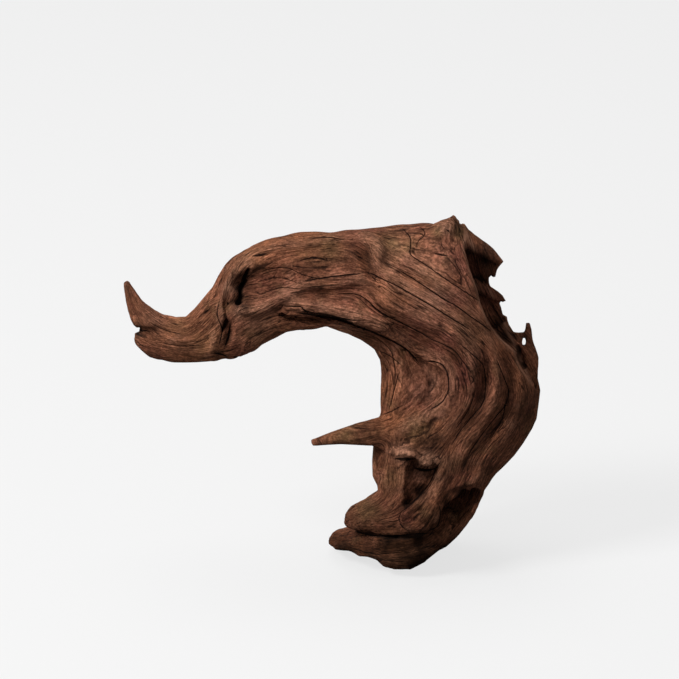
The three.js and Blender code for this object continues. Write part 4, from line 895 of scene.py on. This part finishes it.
woodLook = {
    "brown": (0.200, 0.078, 0.043), "pale": (0.320, 0.155, 0.096), "dark": (0.080, 0.030, 0.016),
    "rust": (0.280, 0.103, 0.047), "green": (0.160, 0.092, 0.042), "plum": (0.185, 0.056, 0.040),
    # the first near-black colour on the next line is painted shade, for hollows and the black patches
    # the last colour on the next line is the dark of cracks and of lines of painted shade
    "grey": (0.190, 0.098, 0.066), "paintedShade": (0.022, 0.013, 0.009), "crackAndShadeLine": (0.008, 0.004, 0.003),
    "roughness": 0.95, "shine": 0.04,
    "bumpHeight": 0.0011,   # m
    # the noise values that give 0 and 1, then width and length in mm, detail, roughness and shift
    "streaks": {
        "Fine": (0.38, 0.62, 1.1, 20, 3, 0.65, 0), "Streak": (0.34, 0.66, 2.6, 38, 3, 0.65, 11),
        "Band": (0.3, 0.7, 13, 120, 2, 0.5, 23), "Fleck": (0.35, 0.65, 0.9, 4, 2, 0.7, 71),
    },
    # thin lines of open cracks and of hairs, and where they show
    "checks": [
        {"line": (9, 110, 1, 0.5, 37), "edge": (0.004, 0.017),
         "where": (16, 45, 1, 0.5, 51), "limits": (0.52, 0.62)},
        {"line": (4.5, 60, 1, 0.5, 83), "edge": (0.006, 0.024),
         "where": (8, 26, 1, 0.5, 97), "limits": (0.45, 0.55)},
    ],
    # size in mm, shift, and the noise values that give 0 and the most
    "wild": {
        "rust": (17, 3, 0.5, 0.72), "green": (19, 9, 0.52, 0.7), "plum": (22, 15, 0.48, 0.7),
        "grey": (15, 33, 0.52, 0.72), "dark": (50, 27, 0.52, 0.75),
    },
    "tints": {"plum": 0.8, "green": 0.75, "rust": 0.7, "grey": 0.7},
    "brightness": {
        "Streak": (0.84, 1.16), "Fine": (0.68, 1.28), "Fleck": (0.68, 1.32), "Mottle": (0.84, 1.14),
    },
    "darkest": -0.9, "lightest": 0.8,
    "bumps": {"Fine": 0.5, "Streak": 0.6, "Mottle": 0.6, "Fleck": 0.35, "Checks": -0.8, "Placed": -1.4},
}


class Nodes:
    def __init__(self, tree):
        self.tree = tree

    def add(self, kind, **settings):
        node = self.tree.nodes.new(kind)
        for name, value in settings.items():
            setattr(node, name, value)
        return node

    def put(self, socket, value):
        if isinstance(value, bpy.types.NodeSocket):
            self.tree.links.new(value, socket)
        else:
            socket.default_value = value

    def math(self, operation, a, b=0.0, c=0.0):
        node = self.add("ShaderNodeMath", operation=operation)
        for socket, value in zip(node.inputs, (a, b, c)):
            self.put(socket, value)
        return node.outputs[0]

    def ramp(self, value, low, high, outLow=0.0, outHigh=1.0):
        node = self.add("ShaderNodeMapRange", interpolation_type="SMOOTHSTEP")
        names = ("Value", "From Min", "From Max", "To Min", "To Max")
        for name, item in zip(names, (value, low, high, outLow, outHigh)):
            self.put(node.inputs[name], item)
        return node.outputs[0]

    def mix(self, factor, a, b, blend="MIX"):
        node = self.add("ShaderNodeMix", data_type="RGBA", blend_type=blend)
        for socket, value in ((node.inputs[0], factor), (node.inputs[6], a), (node.inputs[7], b)):
            self.put(socket, (*value, 1) if isinstance(value, tuple) else value)
        return node.outputs[2]

    def value(self, name):
        return self.add("ShaderNodeAttribute", attribute_name=name).outputs["Fac"]

    def noise(self, vector, w, detail, roughness=0.55):
        node = self.add("ShaderNodeTexNoise", noise_dimensions="4D")
        node.inputs["Scale"].default_value = 1
        node.inputs["Detail"].default_value = detail
        node.inputs["Roughness"].default_value = roughness
        self.put(node.inputs["Vector"], vector)
        self.put(node.inputs["W"], w)
        return node.outputs[0]

    def place(self, scale):
        # the piece's own coordinates in mm, each divided by its scale
        own = self.add("ShaderNodeTexCoord").outputs["Object"]
        node = self.add("ShaderNodeVectorMath", operation="MULTIPLY")
        self.put(node.inputs[0], own)
        node.inputs[1].default_value = [1000 / s for s in scale]
        return node.outputs[0]

    def lumps(self, size, w, detail, roughness=0.55):
        return self.noise(self.place((size, size, size)), w, detail, roughness)

    def streaks(self, width, length, detail, roughness, shift):
        # noise drawn out along the grain
        flow = self.math("MULTIPLY_ADD", self.value("flow"), 1 / width, shift)
        deep = width / grain["depthShare"]
        return self.noise(self.place((length, deep, length)), flow, detail, roughness)


def newGroup(name, outputs):
    tree = bpy.data.node_groups.new(name, "ShaderNodeTree")
    for socket in outputs:
        tree.interface.new_socket(socket, in_out="OUTPUT", socket_type="NodeSocketFloat")
    return tree, Nodes(tree), tree.nodes.new("NodeGroupOutput")


def grainGroup():
    tree, n, out = newGroup("grain", woodLook["streaks"])
    for name, (low, high, *shape) in woodLook["streaks"].items():
        n.put(out.inputs[name], n.ramp(n.streaks(*shape), low, high))
    return tree


def crackAndShadeLineGroup():
    tree, n, out = newGroup("cracksAndShadeLines", ("Placed", "Checks"))
    wobble = n.math("MULTIPLY_ADD", n.lumps(6, 0.0, 2), 1.2, -0.6)
    gap = n.math("ABSOLUTE", n.math("ADD", n.value("darkLineGap"), wobble))
    half = n.math("MULTIPLY", n.value("darkLineWidth"), 0.5)
    line = n.ramp(n.math("SUBTRACT", gap, half), -0.25, 0.1, 1, 0)
    n.put(out.inputs["Placed"], n.math("MULTIPLY", line, n.value("darkLineShow")))
    shown = 0.0
    for check in woodLook["checks"]:
        # a line runs where the noise crosses its middle
        wave = n.math("ABSOLUTE", n.math("SUBTRACT", n.streaks(*check["line"]), 0.5))
        present = n.ramp(n.streaks(*check["where"]), *check["limits"])
        shown = n.math("MAXIMUM", shown, n.math("MULTIPLY", n.ramp(wave, *check["edge"], 1, 0), present))
    n.put(out.inputs["Checks"], shown)
    return tree


def weatherAndShadeGroup():
    tree, n, out = newGroup("weatheringAndShade", (*woodLook["wild"], "Mottle"))
    # random weathering, or the listed patch where that is stronger; the listed dark patches are painted shade
    for name, (size, shift, low, high) in woodLook["wild"].items():
        wild = n.ramp(n.lumps(size, shift, 4, 0.62), low, high, 0, 0.5)
        n.put(out.inputs[name], n.math("MAXIMUM", wild, n.value(name)))
    n.put(out.inputs["Mottle"], n.ramp(n.lumps(2.4, 21.0, 4, 0.75), 0.34, 0.66))
    return tree


def woodMaterial():
    look = woodLook
    material = bpy.data.materials.new("wood")
    material.use_nodes = True
    tree = material.node_tree
    n = Nodes(tree)
    shader = tree.nodes["Principled BSDF"]
    masks = {}
    for group in (grainGroup(), crackAndShadeLineGroup(), weatherAndShadeGroup()):
        node = n.add("ShaderNodeGroup")
        node.node_tree = group
        masks.update({socket.name: socket for socket in node.outputs})

    colour = n.mix(n.ramp(masks["Band"], 0.0, 0.8, 0.45, 0), look["brown"], look["dark"])
    for name, share in look["tints"].items():
        colour = n.mix(n.math("MULTIPLY", masks[name], share), colour, look[name])
    # paler on the ridges, and painted shade darkening the valleys
    colour = n.mix(n.ramp(n.value("relief"), 0.5, 5.0, 0, 0.3), colour, look["pale"])
    colour = n.mix(n.ramp(n.value("relief"), -3.0, 0.0, 0.5, 0), colour, look["dark"])
    colour = n.mix(n.value("pale"), colour, look["pale"])
    # how bright the wood is: its fibres and grit, then the dark patches, which are random darker wood and
    # painted shade, and the light patches of painted light
    bright = 1.0
    for name, (low, high) in look["brightness"].items():
        bright = n.math("MULTIPLY", bright, n.ramp(masks[name], 0.0, 1.0, low, high))
    for patch, share in ((masks["dark"], look["darkest"]), (n.value("light"), look["lightest"])):
        bright = n.math("MULTIPLY", bright, n.math("MULTIPLY_ADD", patch, share, 1.0))
    colour = n.mix(1.0, colour, bright, "MULTIPLY")
    # painted shade in hollows, taken away where the lit patches are
    inside = n.math("MULTIPLY", n.ramp(n.value("hollow"), 0.35, 1.1, 0, 0.92),
                    n.math("SUBTRACT", 1.0, n.value("lit")))
    colour = n.mix(inside, colour, look["paintedShade"])
    # painted shade: the black patches
    colour = n.mix(n.value("black"), colour, look["paintedShade"])
    # painted highlight on the torn rim
    colour = n.mix(n.math("MULTIPLY", n.value("rimHighlight"), 0.9), colour, look["pale"])
    colour = n.mix(n.math("MULTIPLY", masks["Checks"], 0.75), colour, look["crackAndShadeLine"])
    # drying cracks and lines of painted shade
    colour = n.mix(n.math("MULTIPLY", masks["Placed"], 0.95), colour, look["crackAndShadeLine"])
    n.put(shader.inputs["Base Color"], colour)
    shader.inputs["Roughness"].default_value = look["roughness"]
    shader.inputs["Specular IOR Level"].default_value = look["shine"]

    height = 0.0
    for name, share in look["bumps"].items():
        height = n.math("MULTIPLY_ADD", masks[name], share, height)
    bump = n.add("ShaderNodeBump")
    bump.inputs["Distance"].default_value = look["bumpHeight"]
    n.put(bump.inputs["Height"], height)
    n.put(shader.inputs["Normal"], bump.outputs[0])
    return material


print("the wood's surface")
wood.data.materials.clear()
wood.data.materials.append(woodMaterial())
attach(wood, "root")
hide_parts("driftwood")

stage = {
    "floorSize": 20.0, "floor": 0.12, "floorGlow": 0.725, "floorRoughness": 0.9, "world": 0.42,
    "lightsAimAt": (0, 0, 0.15),
    "key": {"place": (-2.3, -1.5, 2.7), "size": 1.1, "power": 150},
    "fill": {"place": (2.2, -2.4, 1.2), "size": 2.0, "power": 4},
    "top": {"place": (-0.3, 0.6, 3.0), "size": 2.0, "power": 45},
}


def makeFloor():
    half = stage["floorSize"] / 2
    floor = bpy.data.meshes.new("floor")
    corners = [(-half, -half, 0), (half, -half, 0), (half, half, 0), (-half, half, 0)]
    floor.from_pydata(corners, [], [(0, 1, 2, 3)])
    paint = bpy.data.materials.new("floor_paint")
    paint.use_nodes = True
    n = Nodes(paint.node_tree)
    shader = paint.node_tree.nodes["Principled BSDF"]
    shader.inputs["Base Color"].default_value = (stage["floor"], stage["floor"], stage["floor"], 1)
    shader.inputs["Roughness"].default_value = stage["floorRoughness"]
    shader.inputs["Specular IOR Level"].default_value = 0.0
    shader.inputs["Emission Color"].default_value = (1, 1, 1, 1)
    # seen straight on the floor is lifted to near white, but it throws little light back on the wood
    straight = n.add("ShaderNodeLightPath").outputs["Is Camera Ray"]
    n.put(shader.inputs["Emission Strength"], n.math("MULTIPLY", straight, stage["floorGlow"]))
    floor.materials.append(paint)
    addObject("floor", floor)


def addLight(name, place, size, power):
    light = bpy.data.lights.new(name, "AREA")
    light.size = size
    light.energy = power
    obj = addObject(name, light)
    obj.location = place
    obj.rotation_euler = (Vector(stage["lightsAimAt"]) - Vector(place)).to_track_quat("-Z", "Y").to_euler()


def makeWorld():
    world = bpy.data.worlds.new("studio")
    world.use_nodes = True
    world.node_tree.nodes["Background"].inputs["Color"].default_value = (1, 1, 1, 1)
    world.node_tree.nodes["Background"].inputs["Strength"].default_value = stage["world"]
    bpy.context.scene.world = world


def makeCamera():
    # the drawing plane's middle is looked at squarely from in front, so the picture's middle falls there
    lean = math.radians(camera["elevation"])
    originX, originY = camera["originPixel"]
    across = (camera["pixels"] / 2 - originX) * camera["mmPerPixel"]
    up = (originY - camera["pixels"] / 2) * camera["mmPerPixel"]
    target = seen(np.array([across]), np.array([up]), np.array([0.0]))[0]
    target = Vector(target - boxMiddle) / 1000
    width = camera["pixels"] * camera["mmPerPixel"] / 1000
    distance = width * camera["lens"] / camera["sensor"]
    eye = bpy.data.cameras.new("camera")
    eye.lens = camera["lens"]
    eye.sensor_width = camera["sensor"]
    eye.clip_end = 100
    obj = addObject("camera", eye)
    back = Vector((0, -math.cos(lean), math.sin(lean)))
    obj.location = target + back * distance
    obj.rotation_euler = (-back).to_track_quat("-Z", "Y").to_euler()
    bpy.context.scene.camera = obj


print("floor, light and camera")
makeFloor()
makeWorld()
for name in ("key", "fill", "top"):
    addLight(name, **stage[name])
makeCamera()
bpy.context.scene.view_settings.view_transform = "Standard"
